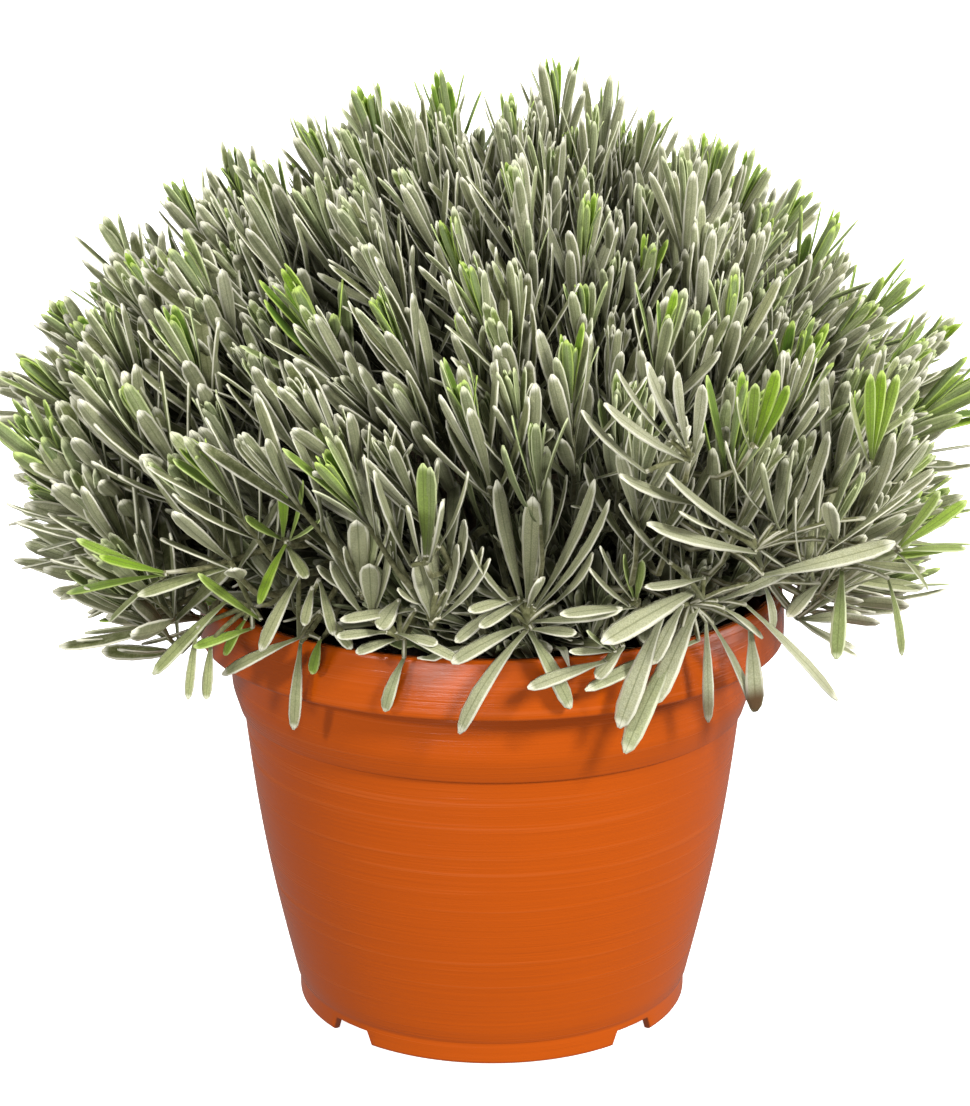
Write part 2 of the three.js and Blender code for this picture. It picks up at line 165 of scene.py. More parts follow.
def turned(radii, heights, sides):
    """Rings of points about the upright axis, one for each row of radii and heights."""
    turn = round_turn(sides)
    rings = np.broadcast_arrays(radii * np.cos(turn), radii * np.sin(turn), heights)
    return np.stack(rings, axis=-1).reshape(-1, 3)


def ring_faces(rings, sides):
    """Four-sided faces between rings of points."""
    ring = np.arange(rings - 1)[:, None] * sides
    side = np.arange(sides)[None, :]
    beside = (side + 1) % sides
    corners = [ring + side, ring + beside, ring + sides + beside, ring + sides + side]
    return np.stack(corners, axis=-1).reshape(-1, 4)


def end_caps(rings, sides):
    """One face that closes the first ring, and one that closes the last."""
    side = np.arange(sides)[None, :]
    return [side[:, ::-1], side + sides * (rings - 1)]


print("4 rings of 6 points have", len(ring_faces(4, 6)), "faces between them")

# %% [markdown]
# A tube's rings must not spin as its curve bends, or the faces would twist. So each ring takes over the
# side direction of the ring before it, made square to the new way.


# %% Tubes along a curve
def tube(path, radii, sides):
    """The points, faces and UV of a tube, turned as little as possible from ring to ring."""
    path = np.asarray(path, dtype=float)
    ways = unit(np.gradient(path, axis=0))
    across = np.cross(ways[0], (0.31, 0.17, 0.93) if abs(ways[0][2]) < 0.9 else (1.0, 0.2, 0.1))
    angle = round_turn(sides)
    rings = []
    for centre, way, radius in zip(path, ways, radii):
        across = unit(across - way * np.dot(across, way))
        up = np.cross(way, across)
        rings.append(centre + radius * (np.outer(np.cos(angle), across) + np.outer(np.sin(angle), up)))
    u, v = np.meshgrid(np.arange(sides) / sides, np.linspace(0, 1, len(path)))
    faces = [ring_faces(len(path), sides), *end_caps(len(path), sides)]
    return np.concatenate(rings), faces, np.stack([u.ravel(), v.ravel()], axis=1)


def bezier(a, b, c, d, steps):
    t = np.linspace(0, 1, steps)[:, None]
    return a * (1 - t) ** 3 + 3 * b * t * (1 - t) ** 2 + 3 * c * t * t * (1 - t) + d * t**3


print("a straight tube of 2 rings has", len(tube([(0, 0, 0), (0, 0, 9)], [1, 1], 6)[0]), "points")

# %% [markdown]
# ## Node helpers
#
# Every finish below is a small net of nodes, so that it has no picture files and stays sharp close up.
# These helpers add a node and wire it in one line each.


# %% Finishes from nodes
class Net:
    """A material whose nodes lead to one Principled shader."""

    def __init__(self, name):
        self.material = bpy.data.materials.new(name)
        self.material.use_nodes = True
        self.nodes = self.material.node_tree.nodes
        self.links = self.material.node_tree.links
        self.shader = self.nodes["Principled BSDF"]

    def put(self, target, value):
        """Wires a socket to another, or sets it to a number or a colour."""
        if isinstance(value, bpy.types.NodeSocket):
            self.links.new(value, target)
        else:
            target.default_value = value

    def finish(self, sockets):
        """Sets or wires the shader's own sockets."""
        for name, value in sockets.items():
            self.put(self.shader.inputs[name], value)
        print(self.material.name, "has", len(self.nodes), "nodes")

    def node(self, kind, **settings):
        made = self.nodes.new(kind)
        for key, value in settings.items():
            setattr(made, key, value)
        return made

    def math(self, operation, a, b=0.0):
        made = self.node("ShaderNodeMath", operation=operation)
        self.put(made.inputs[0], a)
        self.put(made.inputs[1], b)
        return made.outputs[0]

    def times(self, a, b):
        return self.math("MULTIPLY", a, b)

    def ramp(self, value, low, high, start=0.0, end=1.0):
        """Eases from start to end as value goes from low to high."""
        made = self.node("ShaderNodeMapRange", interpolation_type="SMOOTHSTEP")
        for socket, number in zip(made.inputs, (value, low, high, start, end)):
            self.put(socket, number)
        return made.outputs[0]

    def mix(self, share, a, b):
        """The colour a, and more of b as share rises."""
        made = self.node("ShaderNodeMix", data_type="RGBA")
        for socket, value in zip((made.inputs[0], made.inputs[6], made.inputs[7]), (share, a, b)):
            self.put(socket, value)
        return made.outputs[2]

    def mark(self, name):
        return self.node("ShaderNodeAttribute", attribute_name=name).outputs["Fac"]

    def noise(self, squeeze, scale, detail=3.0, rough=0.5):
        """Noise in the object's own space, whose metres are first stretched by squeeze."""
        where = self.node("ShaderNodeMapping")
        self.put(where.inputs["Vector"], self.node("ShaderNodeTexCoord").outputs["Object"])
        where.inputs["Scale"].default_value = squeeze
        made = self.node("ShaderNodeTexNoise")
        self.put(made.inputs["Vector"], where.outputs[0])
        for name, value in {"Scale": scale, "Detail": detail, "Roughness": rough}.items():
            made.inputs[name].default_value = value
        return made.outputs[0]

    def bump(self, height, distance, strength):
        made = self.node("ShaderNodeBump")
        for name, value in {"Strength": strength, "Distance": distance, "Height": height}.items():
            self.put(made.inputs[name], value)
        return made.outputs[0]


EVEN = (1, 1, 1)


def srgb(red, green, blue):
    """A colour as seen on a screen, from 0 to 255, in the linear numbers that shaders use."""
    shares = [value / 255 for value in (red, green, blue)]
    return (*[s / 12.92 if s <= 0.04045 else ((s + 0.055) / 1.055) ** 2.4 for s in shares], 1.0)


print("mid grey is", round(srgb(128, 128, 128)[0], 3))

# %% [markdown]
# ## The pot's plastic
#
# The pot is moulded from orange polypropylene with a satin skin. Handling has drawn fine level scratches
# round it, and the colour is a little paler along its edges. Level scratches come from noise that is
# squeezed flat: it changes quickly up the wall and slowly round it.

# %% Plastic
plastic = Net("orange plastic")
level = plastic.noise((5, 5, 420), 1.0, 4, 0.6)
fine_level = plastic.noise((22, 22, 1900), 1.0, 3, 0.6)
cloud = plastic.noise(EVEN, 14, 3)
scratch = plastic.ramp(level, 0.56, 0.72)
orange = plastic.mix(cloud, srgb(173, 72, 2), srgb(183, 78, 3))
worn = plastic.math("ADD", plastic.times(cloud, 0.5), scratch)
relief = plastic.math("ADD", plastic.times(fine_level, 0.5), level)
plastic.finish({
    "Base Color": plastic.mix(plastic.times(scratch, 0.14), orange, srgb(210, 108, 44)),
    "Roughness": plastic.ramp(worn, 0.2, 1.3, 0.24, 0.42),
    "Specular IOR Level": 0.32,
    "Normal": plastic.bump(relief, 0.0004, 0.5),
})

# %% [markdown]
# ## The pot
#
# One profile runs up the outside, over the rim, and down inside to the floor. It is turned about the axis
# in 224 steps with small roundings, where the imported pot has 40. The four notches are cut by lifting the
# foot's rings in a smooth arch, and the drain holes by a boolean, which is the simplest way to pierce a
# flat floor.

# %% Pot sizes, in millimetres
RIM_RADIUS = 95
POT_HEIGHT = 144
RIM_FOOT = 125
BAND_RADIUS = 85.5
BAND_FOOT = 101.5
BAND_STEP = 1.2
BODY_TOP_RADIUS = 81.4
BODY_BULGE = 1.8
FOOT_RADIUS = 64.7
FOOT_TALL = 8
WALL = 1.9
FLOOR_HEIGHT = 7
NOTCH_WIDE = 17
NOTCH_TALL = 4.7
DRAIN_RADIUS = 5
DRAIN_RING = 42
POT_SIDES = 224


def rounded(corners, steps=4):
    """A profile whose corners (radius, height, rounding) are replaced by small curves."""
    points = []
    for i, (r, z, rounding) in enumerate(corners):
        here = np.array([r, z], dtype=float)
        if rounding == 0:
            points.append(here)
            continue
        before = np.array(corners[i - 1][:2], dtype=float)
        after = np.array(corners[(i + 1) % len(corners)][:2], dtype=float)
        start = here + unit(before - here) * rounding
        end = here + unit(after - here) * rounding
        for t in np.linspace(0, 1, steps + 1):
            points.append(start * (1 - t) ** 2 + 2 * here * t * (1 - t) + end * t * t)
    return np.array(points)


def body_points(inset, lowest, highest, count):
    """The full side of the body between two heights, moved in by inset."""
    points = []
    for z in np.linspace(lowest, highest, count):
        share = (z - FOOT_TALL - 1) / (BAND_FOOT - FOOT_TALL - 2)
        r = FOOT_RADIUS + 1 + (BODY_TOP_RADIUS - FOOT_RADIUS - 1) * share
        points.append((r + BODY_BULGE * math.sin(math.pi * share) - inset, z, 0))
    return points


# Corners of the profile: radius, height and rounding
outside = [
    (FOOT_RADIUS - 2.6, 0, 0.5),
    (FOOT_RADIUS, 0, 1.3),
    (FOOT_RADIUS, FOOT_TALL - 1, 0.5),
    *body_points(0, FOOT_TALL + 1, BAND_FOOT - 1.2, 24),
    (BODY_TOP_RADIUS + 0.1, BAND_FOOT - 0.2, 0.2),
    (BODY_TOP_RADIUS + BAND_STEP, BAND_FOOT, 0.6),
    (BAND_RADIUS - 0.4, BAND_FOOT + 8, 2),
    (BAND_RADIUS, RIM_FOOT + 0.6, 1),
    (RIM_RADIUS, RIM_FOOT, 1.7),
    (RIM_RADIUS + 0.1, POT_HEIGHT - 11, 5),
    (RIM_RADIUS - 1.3, POT_HEIGHT - 0.6, 1.3),
    (RIM_RADIUS - 2.2, POT_HEIGHT, 0.5),
]
inside = [
    (RIM_RADIUS - 3.6, POT_HEIGHT, 0.7),
    (RIM_RADIUS - 3.8, RIM_FOOT + 4, 2),
    (BAND_RADIUS - WALL, RIM_FOOT + 1.5, 1.5),
    (BODY_TOP_RADIUS + BAND_STEP - WALL, BAND_FOOT + 1, 1),
    *body_points(WALL, FLOOR_HEIGHT + WALL + 4, BAND_FOOT - 3, 10)[::-1],
    (FOOT_RADIUS - WALL + 0.3, FLOOR_HEIGHT + WALL, 2),
]
profile = rounded(outside + inside)
print("the pot's profile has", len(profile), "points, and reaches", profile.max(axis=0), "mm")

# %% [markdown]
# Turning repeats the profile at 224 angles. Where a notch is, the foot's points are lifted by a soft step,
# so the notches need no boolean and their edges stay rounded.


# %% Turn the pot
def notch_lift(turn):
    """How far the foot is lifted at a turn round the pot, in millimetres."""
    off = (turn - np.pi / 4) % (np.pi / 2)
    off = np.minimum(off, np.pi / 2 - off) * FOOT_RADIUS
    edge = np.clip((NOTCH_WIDE / 2 + 0.6 - off) / 1.6, 0, 1)
    return NOTCH_TALL * ease(edge)


turn = round_turn(POT_SIDES)
inner_foot = [(FOOT_RADIUS - 4.4, FLOOR_HEIGHT, 0), (FOOT_RADIUS - 3.4, FLOOR_HEIGHT, 0.8)]
underside = rounded(inner_foot + outside[:1])[:-5]  # the last 5 points start the profile
rows = np.concatenate([underside, profile])
r, z = rows[:, :1], rows[:, 1:]
lifted = z + notch_lift(turn)[None, :] * np.clip(1 - z / (FOOT_TALL - 1), 0, 1)
lifted = np.where(z < FLOOR_HEIGHT - 0.5, lifted, z)
skin = turned(r, lifted, POT_SIDES)
centres = np.array([[0, 0, FLOOR_HEIGHT], [0, 0, FLOOR_HEIGHT + WALL]])
last = (len(rows) - 1) * POT_SIDES
side = np.arange(POT_SIDES)
beside = (side + 1) % POT_SIDES
low_fan = np.stack([beside, side, np.full(POT_SIDES, len(skin))], axis=1)
top_fan = np.stack([last + side, last + beside, np.full(POT_SIDES, len(skin) + 1)], axis=1)
u, v = np.meshgrid(turn / (2 * np.pi), np.linspace(0, 1, len(rows)))
pot_uv = np.concatenate([np.stack([u.ravel(), v.ravel()], axis=1), [[0.5, 0.5]] * 2])
pot_heap = Heap()
pot_faces = [ring_faces(len(rows), POT_SIDES), low_fan, top_fan]
pot_heap.add(np.concatenate([skin, centres]), pot_faces, pot_uv)
pot = add_piece("pot_shell", pot_heap, plastic.material, ["pot"])
print("the pot has", triangles(pot), "triangles")

# %% [markdown]
# The drain holes go through the raised floor. A boolean takes the mesh of the drills away from the mesh of
# the pot. The drills are deleted afterwards, because the modifier has been applied by then.

# %% Drain holes
drill_heap = Heap()
for hole in np.radians([45, 135, 225, 315]):
    centre = np.array([math.cos(hole), math.sin(hole), 0]) * DRAIN_RING
    drill = [centre + (0, 0, FLOOR_HEIGHT - 3), centre + (0, 0, FLOOR_HEIGHT + 6)]
    drill_heap.add(*tube(drill, [DRAIN_RADIUS] * 2, 24))
drills = add_piece("drills", drill_heap, plastic.material)
cut = pot.modifiers.new("drain holes", "BOOLEAN")
cut.object = drills
cut.solver = "EXACT"
bpy.context.view_layer.update()
pierced = bpy.data.meshes.new_from_object(pot.evaluated_get(bpy.context.evaluated_depsgraph_get()))
pot.modifiers.clear()
pot.data = pierced
bpy.data.objects.remove(drills)
print("with its drain holes the pot has", triangles(pot), "triangles")

# %% [markdown]
# ## Potting mix
#
# The mix is dark, damp bark and peat. It shows only in chinks behind the rim, so a turned solid with a
# rough top does, strewn with crumbs. Each crumb is a tiny box pushed out of shape.

# %% Mix finish
mix = Net("potting mix")
grain = mix.noise(EVEN, 260, 6, 0.7)
clod = mix.noise(EVEN, 60, 4)
mix.finish({
    "Base Color": mix.mix(mix.ramp(grain, 0.4, 0.75), srgb(28, 20, 15), srgb(92, 70, 52)),
    "Roughness": mix.ramp(clod, 0.3, 0.7, 0.8, 1.0),
    "Normal": mix.bump(grain, 0.002, 0.8),
})

# %% The mix
MIX_TOP = 129
MIX_RISE = 4
MIX_SIDES = 96


def flat_uv(points):
    return points[:, :2] / 200 + 0.5


def mix_height(r):
    return MIX_TOP + MIX_RISE * (1 - r / BAND_RADIUS)


wall = [(r - 0.3, z) for r, z, _ in body_points(WALL, FLOOR_HEIGHT + WALL + 4, BAND_FOOT - 3, 8)]
mix_rows = [(4, FLOOR_HEIGHT + WALL + 0.3), (FOOT_RADIUS - 5, FLOOR_HEIGHT + WALL + 0.3), *wall]
mix_rows += [(BODY_TOP_RADIUS - WALL - 0.6, BAND_FOOT), (BAND_RADIUS - WALL - 0.8, MIX_TOP - 6)]
mix_rows += [(r, mix_height(r)) for r in np.linspace(BAND_RADIUS - WALL - 1, 6, 26)]
mix_r, mix_z = np.split(np.array(mix_rows), 2, axis=1)
mix_z = np.repeat(mix_z, MIX_SIDES, axis=1)
lump = np.arange(mix_z.size).reshape(mix_z.shape)
rough_top = (mix_z > MIX_TOP - 3) & (mix_r < BAND_RADIUS - WALL - 2)
lumps = spread(lump, 1, 1.1) + 0.6 * np.sin(round_turn(MIX_SIDES) * 9 + mix_r)
mix_points = turned(mix_r, mix_z + np.where(rough_top, lumps, 0), MIX_SIDES)
mix_faces = [ring_faces(len(mix_rows), MIX_SIDES), *end_caps(len(mix_rows), MIX_SIDES)]
mix_heap = Heap()
mix_heap.add(mix_points, mix_faces, flat_uv(mix_points))
print("the mix reaches", round(mix_points[:, 2].max(), 1), "mm above the ground")

# %% [markdown]
# The crumbs are strewn evenly over the mix. The square root in their distance from the middle keeps them
# from crowding there.

# %% Crumbs
CUBE = np.array([[x, y, z] for z in (-1, 1) for y in (-1, 1) for x in (-1, 1)], dtype=float)
CUBE_FACES = np.array([[0, 2, 3, 1], [4, 5, 7, 6], [0, 1, 5, 4], [2, 6, 7, 3], [0, 4, 6, 2], [1, 3, 7, 5]])
CRUMBS = 900
STREWN = 82
for i in range(CRUMBS):
    out, about = STREWN * math.sqrt(chance(i, 21)), 2 * math.pi * chance(i, 22)
    corner = np.arange(8) + 8 * i
    shape = CUBE * (0.6 + 1.5 * chance(i, 23)) * (1, 0.4 + 0.6 * chance(i, 24), 0.35 + 0.4 * chance(i, 25))
    shape = shape * (1 + 0.3 * spread(corner, 26, 1)[:, None])
    cos, sin = math.cos(about * 7), math.sin(about * 7)
    shape = shape @ np.array([[cos, sin, 0], [-sin, cos, 0], [0.2 * sin, 0.2 * cos, 1]])
    crumb = shape + (out * math.cos(about), out * math.sin(about), mix_height(out) + 1)
    mix_heap.add(crumb, [CUBE_FACES], flat_uv(crumb))
soil = add_piece("potting_mix_top", mix_heap, mix.material, ["potting_mix"])
print("the mix has", triangles(soil), "triangles")

# %% [markdown]
# ## Where the shoots are
#
# The bush is a dome: its shoots end on an outline round its heart, at a reach that depends on how far above
# the horizon they point. They are spread evenly by the golden angle, as seeds are in a flower head, and
# then shifted a little by chance. Shoots near the top stand upright and those lower down lean out. The
# packed boughs follow the same rule, so each leaf here grows on a packed stem.

# %% The bush's rule
HEART = np.array([-2.2, 4.0, 155.0])
OUTLINE = [(-30, 100), (-14, 112), (2, 139), (20, 158), (40, 147), (62, 143), (90, 144)]
BOUGHS = 50
SHOOTS = 204
LOWEST_CLIMB = -5
SPACING = 21
LEAN, LEAN_GROWS, LEAN_SIDEWAYS = 0.38, 0.0035, 0.15
FRONT_BEGINS, FRONT_FULL, FRONT_LOWEST, FRONT_UPRIGHT = 0.26, 0.64, 7, 0.45
GOLDEN_TURN = math.pi * (3 - math.sqrt(5))
WHOLE = {"size": 1.0, "from_pair": 0, "above_lip": None}
LEAN_VARIES, HEADING_VARIES, CLIMB_VARIES, TURN_VARIES = 7, 14, 3, 4  # degrees
BY_HAND = [
    (25, 81, 1.1), (147, 83, 1.08), (160, 74, 1.02), (174, 56, 1.01), (-166, 40, 1), (178, 29, 1.02),
    (-174, 20, 1.01), (-28, 75, 1), (7, 59, 1.01), (1, 43, 1.04), (-11, 27, 1), (-124, 22, 1),
    (-107, 22, 1), (-84, 24, 1), (-79, 36, 1), (-93, 31, 1), (-57, 28, 1), (-38, 25, 1), (-50, 41, 1),
    (-68, 56, 1), (-66, 11, 1), (-21, 9, 1), (-140, 8, 1),
]  # turn and climb in degrees, and share of the reach


def reach_at(climb):
    """How far from the heart the outline is, at a climb above the horizon."""
    at = math.degrees(climb)
    k = next((i for i in range(1, len(OUTLINE)) if at < OUTLINE[i][0]), len(OUTLINE) - 1)
    (low, near), (high, far) = OUTLINE[k - 1], OUTLINE[k]
    return near + (far - near) * ease(held((at - low) / (high - low)))


def outward(climb, turn):
    flat = math.cos(climb)
    return np.array([flat * math.cos(turn), flat * math.sin(turn), math.sin(climb)])


def frontness(turn):
    """From 0 at the sides and the back to 1 at the front, where the shoots keep above the rim."""
    return ease(held((-math.sin(turn) - FRONT_BEGINS) / (FRONT_FULL - FRONT_BEGINS)))


def evenly(i, n):
    """Climb and turn of number i of n directions, spread by the golden angle."""
    rise = 1 - ((i + 0.5) / n) * (1 - math.sin(math.radians(LOWEST_CLIMB)))
    turn = i * GOLDEN_TURN
    from_top = 90 - math.degrees(math.asin(rise))
    lowest = LOWEST_CLIMB + (FRONT_LOWEST - LOWEST_CLIMB) * frontness(turn)
    return math.radians(90 - from_top * (90 - lowest) / (90 - LOWEST_CLIMB)), turn


def shoot_at(item, climb, turn, share):
    """A whole shoot that ends at a share of the outline's reach."""
    tip = outward(climb, turn) * reach_at(climb) * share + HEART
    from_top = 90 - math.degrees(climb)
    sideways = 1 + LEAN_SIDEWAYS * math.cos(turn) ** 2
    upright = 1 - FRONT_UPRIGHT * frontness(turn)
    lean = from_top * (LEAN + LEAN_GROWS * from_top) * sideways * upright
    lean = math.radians(lean + spread(item, 4, LEAN_VARIES))
    heading = outward(math.pi / 2 - lean, turn + math.radians(spread(item, 5, HEADING_VARIES)))
    return {"item": item, "tip": tip, "heading": heading, "climb": climb, "turn": turn, **WHOLE}


print("the bush reaches", [round(reach_at(math.radians(c))) for c in (0, 30, 60, 90)], "mm from its heart")

# %% [markdown]
# The shoots that stand out in the photograph, on top of the bush and across its front, are listed one by
# one, and drawn ones give way to them. The first two, the tallest, end a little lower than in the imported
# model.

# %% Place the shoots
UNEVEN = 0.045
TALLEST_LOWERED = 7


def far_from(shoot, others, room):
    return all(np.linalg.norm(other["tip"] - shoot["tip"]) > room for other in others)


def scattered(first, item, count, share, uneven):
    """A drawn shoot, number item of count, whose numbers start at first."""
    climb, turn = evenly(item, count)
    climb += math.radians(spread(first + item, 1, CLIMB_VARIES))
    turn += math.radians(spread(first + item, 2, TURN_VARIES)) / max(0.3, math.cos(climb))
    return shoot_at(first + item, climb, turn, share + spread(first + item, 3, uneven))


by_hand = [shoot_at(i, math.radians(c), math.radians(t), s) for i, (t, c, s) in enumerate(BY_HAND)]
drawn = [scattered(len(BY_HAND), i, SHOOTS, 1, UNEVEN) for i in range(SHOOTS)]
drawn = [s for s in drawn if far_from(s, by_hand, SPACING)]
shoots = by_hand + drawn
for tallest in shoots[:2]:
    tallest["tip"] = tallest["tip"] - tallest["heading"] * TALLEST_LOWERED
print(len(shoots), "shoots are placed by the packed part's rule, which found no room for 3 of them")

# %% [markdown]
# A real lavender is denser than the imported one. Shorter shoots fill the room between the tips, a little
# deeper in the bush. Each is kept only where it has room, which is the usual way to scatter things evenly.

# %% Shorter shoots between them
LAYERS = [
    {"first": 1000, "tried": 520, "room": 13.2, "share": 0.95, "uneven": 0.04, "size": 0.88, "pair": 0},
    {"first": 2000, "tried": 280, "room": 20, "share": 0.74, "uneven": 0.05, "size": 0.9, "pair": 4},
]
fill = []
for layer in LAYERS:
    for i in range(layer["tried"]):
        shoot = scattered(layer["first"], i, layer["tried"], layer["share"], layer["uneven"])
        shoot["size"], shoot["from_pair"] = layer["size"], layer["pair"]
        if far_from(shoot, shoots + fill, layer["room"]):
            fill.append(shoot)
    print("with the layer at", layer["share"], "of the reach,", len(fill), "shorter shoots fill the bush")

# %% [markdown]
# Seen from the front, the bush's hem closes over the rim with no gap. Three rings of short shoots that
# lean outward do that. Each says how far it leans, how far out and how high its tips are, and how much room
# a shoot needs. The third stands at the front alone, and its leaves keep a little above the lip.

# %% Rings of shoots by the rim
RINGS_BY_RIM = [
    {"first": 3000, "count": 90, "lean": 48, "out": 66, "in_out": 16, "rise": 172, "room": 12},
    {"first": 4000, "count": 80, "lean": 62, "out": 90, "in_out": 6, "rise": 163, "room": 11},
    {"first": 5000, "count": 90, "lean": 58, "out": 82, "in_out": 7, "rise": 155, "room": 9,
     "front": 0.3, "above_lip": 7},
]
RING_VARIES = {"lean": 14, "rise": 7, "turn": 40}
RING_SHOOT = {"climb": 0.2, "size": 0.95, "from_pair": 3}
for ring in RINGS_BY_RIM:
    for i in range(ring["count"]):
        item, turn = ring["first"] + i, i * GOLDEN_TURN
        lean = math.radians(ring["lean"] + spread(item, 4, RING_VARIES["lean"]))
        flat = ring["out"] + spread(item, 1, ring["in_out"])
        rise = ring["rise"] + spread(item, 2, RING_VARIES["rise"])
        tip = np.array([flat * math.cos(turn), flat * math.sin(turn), rise])
        heading = outward(math.pi / 2 - lean, turn + math.radians(spread(item, 5, RING_VARIES["turn"])))
        shoot = {"item": item, "tip": tip, "heading": heading, "turn": turn, **RING_SHOOT}
        shoot["above_lip"] = ring.get("above_lip")
        if frontness(turn) >= ring.get("front", 0) and far_from(shoot, fill, ring["room"]):
            fill.append(shoot)
print("with the three rings,", len(fill), "shorter shoots")

# %% [markdown]
# The real plant isn't quite even: the shoots of its front left lean over to the left, as if combed. Their
# tips stay where they are and only their headings turn, most of all in the middle of that part.

# %% Lean the front left to the left
COMBED_LEFT, COMBED_MIDDLE, COMBED_WIDE = 0.42, -45, 52
for shoot in shoots + fill:
    across, toward, _ = shoot["tip"]
    combed = math.exp(-((across - COMBED_MIDDLE) / COMBED_WIDE) ** 2) * held(0.5 - toward / 80)
    shoot["heading"] = unit(shoot["heading"] + np.array([-COMBED_LEFT * combed, 0, 0]))
print("the last shoot combed by", round(COMBED_LEFT * combed, 3))

# %% [markdown]
# The photograph shows which tufts are young and bright green. Each is written down as a point in
# millimetres, and the shoot that ends nearest to it is marked. The other shoots at the front are made only
# half as green as those behind, so that the marked ones stand out as they do on the real plant.

# %% Bright young tufts
GREEN_TUFTS = [
    (23, 17, 310), (-4, 17, 305), (-31, 18, 298), (45, -10, 289), (77, 16, 279), (15, -55, 284),
    (69, -35, 274), (112, 6, 256), (124, 10, 244), (-17, -73, 275), (-73, -8, 278), (-88, -59, 256),
    (-55, -79, 262), (-5, -96, 261), (19, -85, 267), (73, -73, 255), (23, -110, 245), (-8, -125, 233),
    (-30, -102, 253), (-84, -85, 241), (51, -107, 239), (76, -103, 230), (96, -63, 243),
    (133, -31, 224), (114, -75, 222), (17, -138, 218), (-43, -135, 216), (-86, -112, 218),
    (-134, 11, 232), (-144, -35, 212), (91, -24, 263), (31, -60, 279), (-56, 16, 295), (50, -72, 267),
    (-20, -108, 249), (-99, -85, 232),
]
LESS_GREEN, BRIGHT = 0.5, 2
for shoot in shoots + fill:
    shoot["greens"] = 1 - LESS_GREEN * frontness(shoot["turn"])
for tuft in GREEN_TUFTS:
    nearest = min(shoots + fill, key=lambda shoot: np.linalg.norm(shoot["tip"] - tuft))
    nearest["greens"] = BRIGHT
marked = [shoot for shoot in shoots + fill if shoot["greens"] == BRIGHT]
print(len(marked), "shoots have the photograph's bright tufts")

# %% [markdown]
# ## Boughs
#
# Fifty boughs leave the woody crown, and every shoot belongs to the bough whose middle is nearest. The
# stem of each shoot swings from the bough's own direction into the shoot's, and low ones arch over the rim.

# %% Share the shoots out
KNOB = np.array([0.0, 0.0, 139.0])
KNOB_RADIUS = 13
BOUGH_START, BOUGH_FORK = 0.34, 0.46
LEAST_START, OVER_RIM, ARCH = 153, 159, 3


def bough_at(b):
    climb, turn = evenly(b, BOUGHS)
    middle = outward(climb, turn) * reach_at(climb) + HEART
    start = KNOB + (middle - KNOB) * BOUGH_START
    start[2] = max(start[2], LEAST_START)
    fork = KNOB + (middle - KNOB) * BOUGH_FORK
    fork[2] = max(fork[2], OVER_RIM)
    return {"middle": middle, "start": start, "fork": fork, "way": unit(fork - start), "shoots": []}


boughs = [bough_at(b) for b in range(BOUGHS)]
for shoot in shoots + fill:
    nearest = min(boughs, key=lambda bough: np.linalg.norm(bough["middle"] - shoot["tip"]))
    nearest["shoots"].append(shoot)
carried = [len(bough["shoots"]) for bough in boughs]
print("boughs carry", min(carried), "to", max(carried), "shoots")

# %% [markdown]
# ## One leaf
#
# A lavender leaf is a narrow blade, widest past its middle, with a rounded tip, a groove along its top, a
# rib below and margins that roll under. Its outline and its section are two short lists here. All the
# leaves of a bough are then made at once: each is its root, the way it leaves the stem, the way its upper
# face looks, its length, width and bend.

# %% Leaf form
LEAF_ALONG = np.array([0, 0.17, 0.38, 0.62, 0.82, 0.94, 1.0])
LEAF_WIDTH = np.array([0.26, 0.4, 0.76, 0.99, 0.96, 0.68, 0.2])
LEAF_SECTION = np.array([(-1, -0.1), (-0.6, 0.08), (0, -0.06), (0.6, 0.08), (1, -0.1), (0, -0.34)])
LEAF_UNDER = np.array([0.3, 0, 0, 0, 0.3, 1])
RINGS, CORNERS = len(LEAF_ALONG), len(LEAF_SECTION)
STRAIGHT = 1e-3  # a bend in radians, below which a leaf counts as bent by this much


def leaf_path(root, out, face, long, bend, droop):
    """Centre line and upper side of every leaf: arrays of leaf, station and xyz."""
    angle = bend[:, None] * LEAF_ALONG[None, :]
    safe = np.where(np.abs(bend) < STRAIGHT, STRAIGHT, bend)[:, None]
    ahead = np.sin(safe * LEAF_ALONG) / safe * long[:, None]
    above = (1 - np.cos(safe * LEAF_ALONG)) / safe * long[:, None]
    path = root[:, None, :] + ahead[..., None] * out[:, None, :] + above[..., None] * face[:, None, :]
    path[..., 2] -= droop[:, None] * long[:, None] * LEAF_ALONG**2
    upper = np.cos(angle)[..., None] * face[:, None, :] - np.sin(angle)[..., None] * out[:, None, :]
    return path, upper


print("a leaf has", 2 * (RINGS - 1) * CORNERS + 2 * (CORNERS - 2), "triangles")

# %% [markdown]
# Two things depend on where a leaf is. By the rim it is pushed out or up until it lies over the plastic,
# and well inside the bush it is marked as deep, since little light gets there, and gets painted shade.

# %% Where a leaf is
RIM_CLEAR = 1.5
RIM_INSIDE, RIM_TOP_WIDE = 3, 12
HEM_CLIMB, HEM_RISE, HEM_REACH = -6, 26, 0.78
SHADE_FROM, SHADE_OVER = 0.98, 0.26  # shares of the reach


def clear_of_rim(path):
    """Leaves lie over the rim and not through it."""
    flat = np.linalg.norm(path[..., :2], axis=-1)
    low = path[..., 2] < POT_HEIGHT + RIM_CLEAR
    outside = low & (flat > RIM_RADIUS - RIM_INSIDE) & (flat < RIM_RADIUS + RIM_CLEAR)
    push = np.where(outside, (RIM_RADIUS + RIM_CLEAR) / np.maximum(flat, 1), 1.0)
    path[..., :2] *= push[..., None]
    over = low & (flat > RIM_RADIUS - RIM_TOP_WIDE) & ~outside & (flat <= RIM_RADIUS - RIM_INSIDE)
    path[..., 2] = np.where(over, POT_HEIGHT + RIM_CLEAR, path[..., 2])
    return path


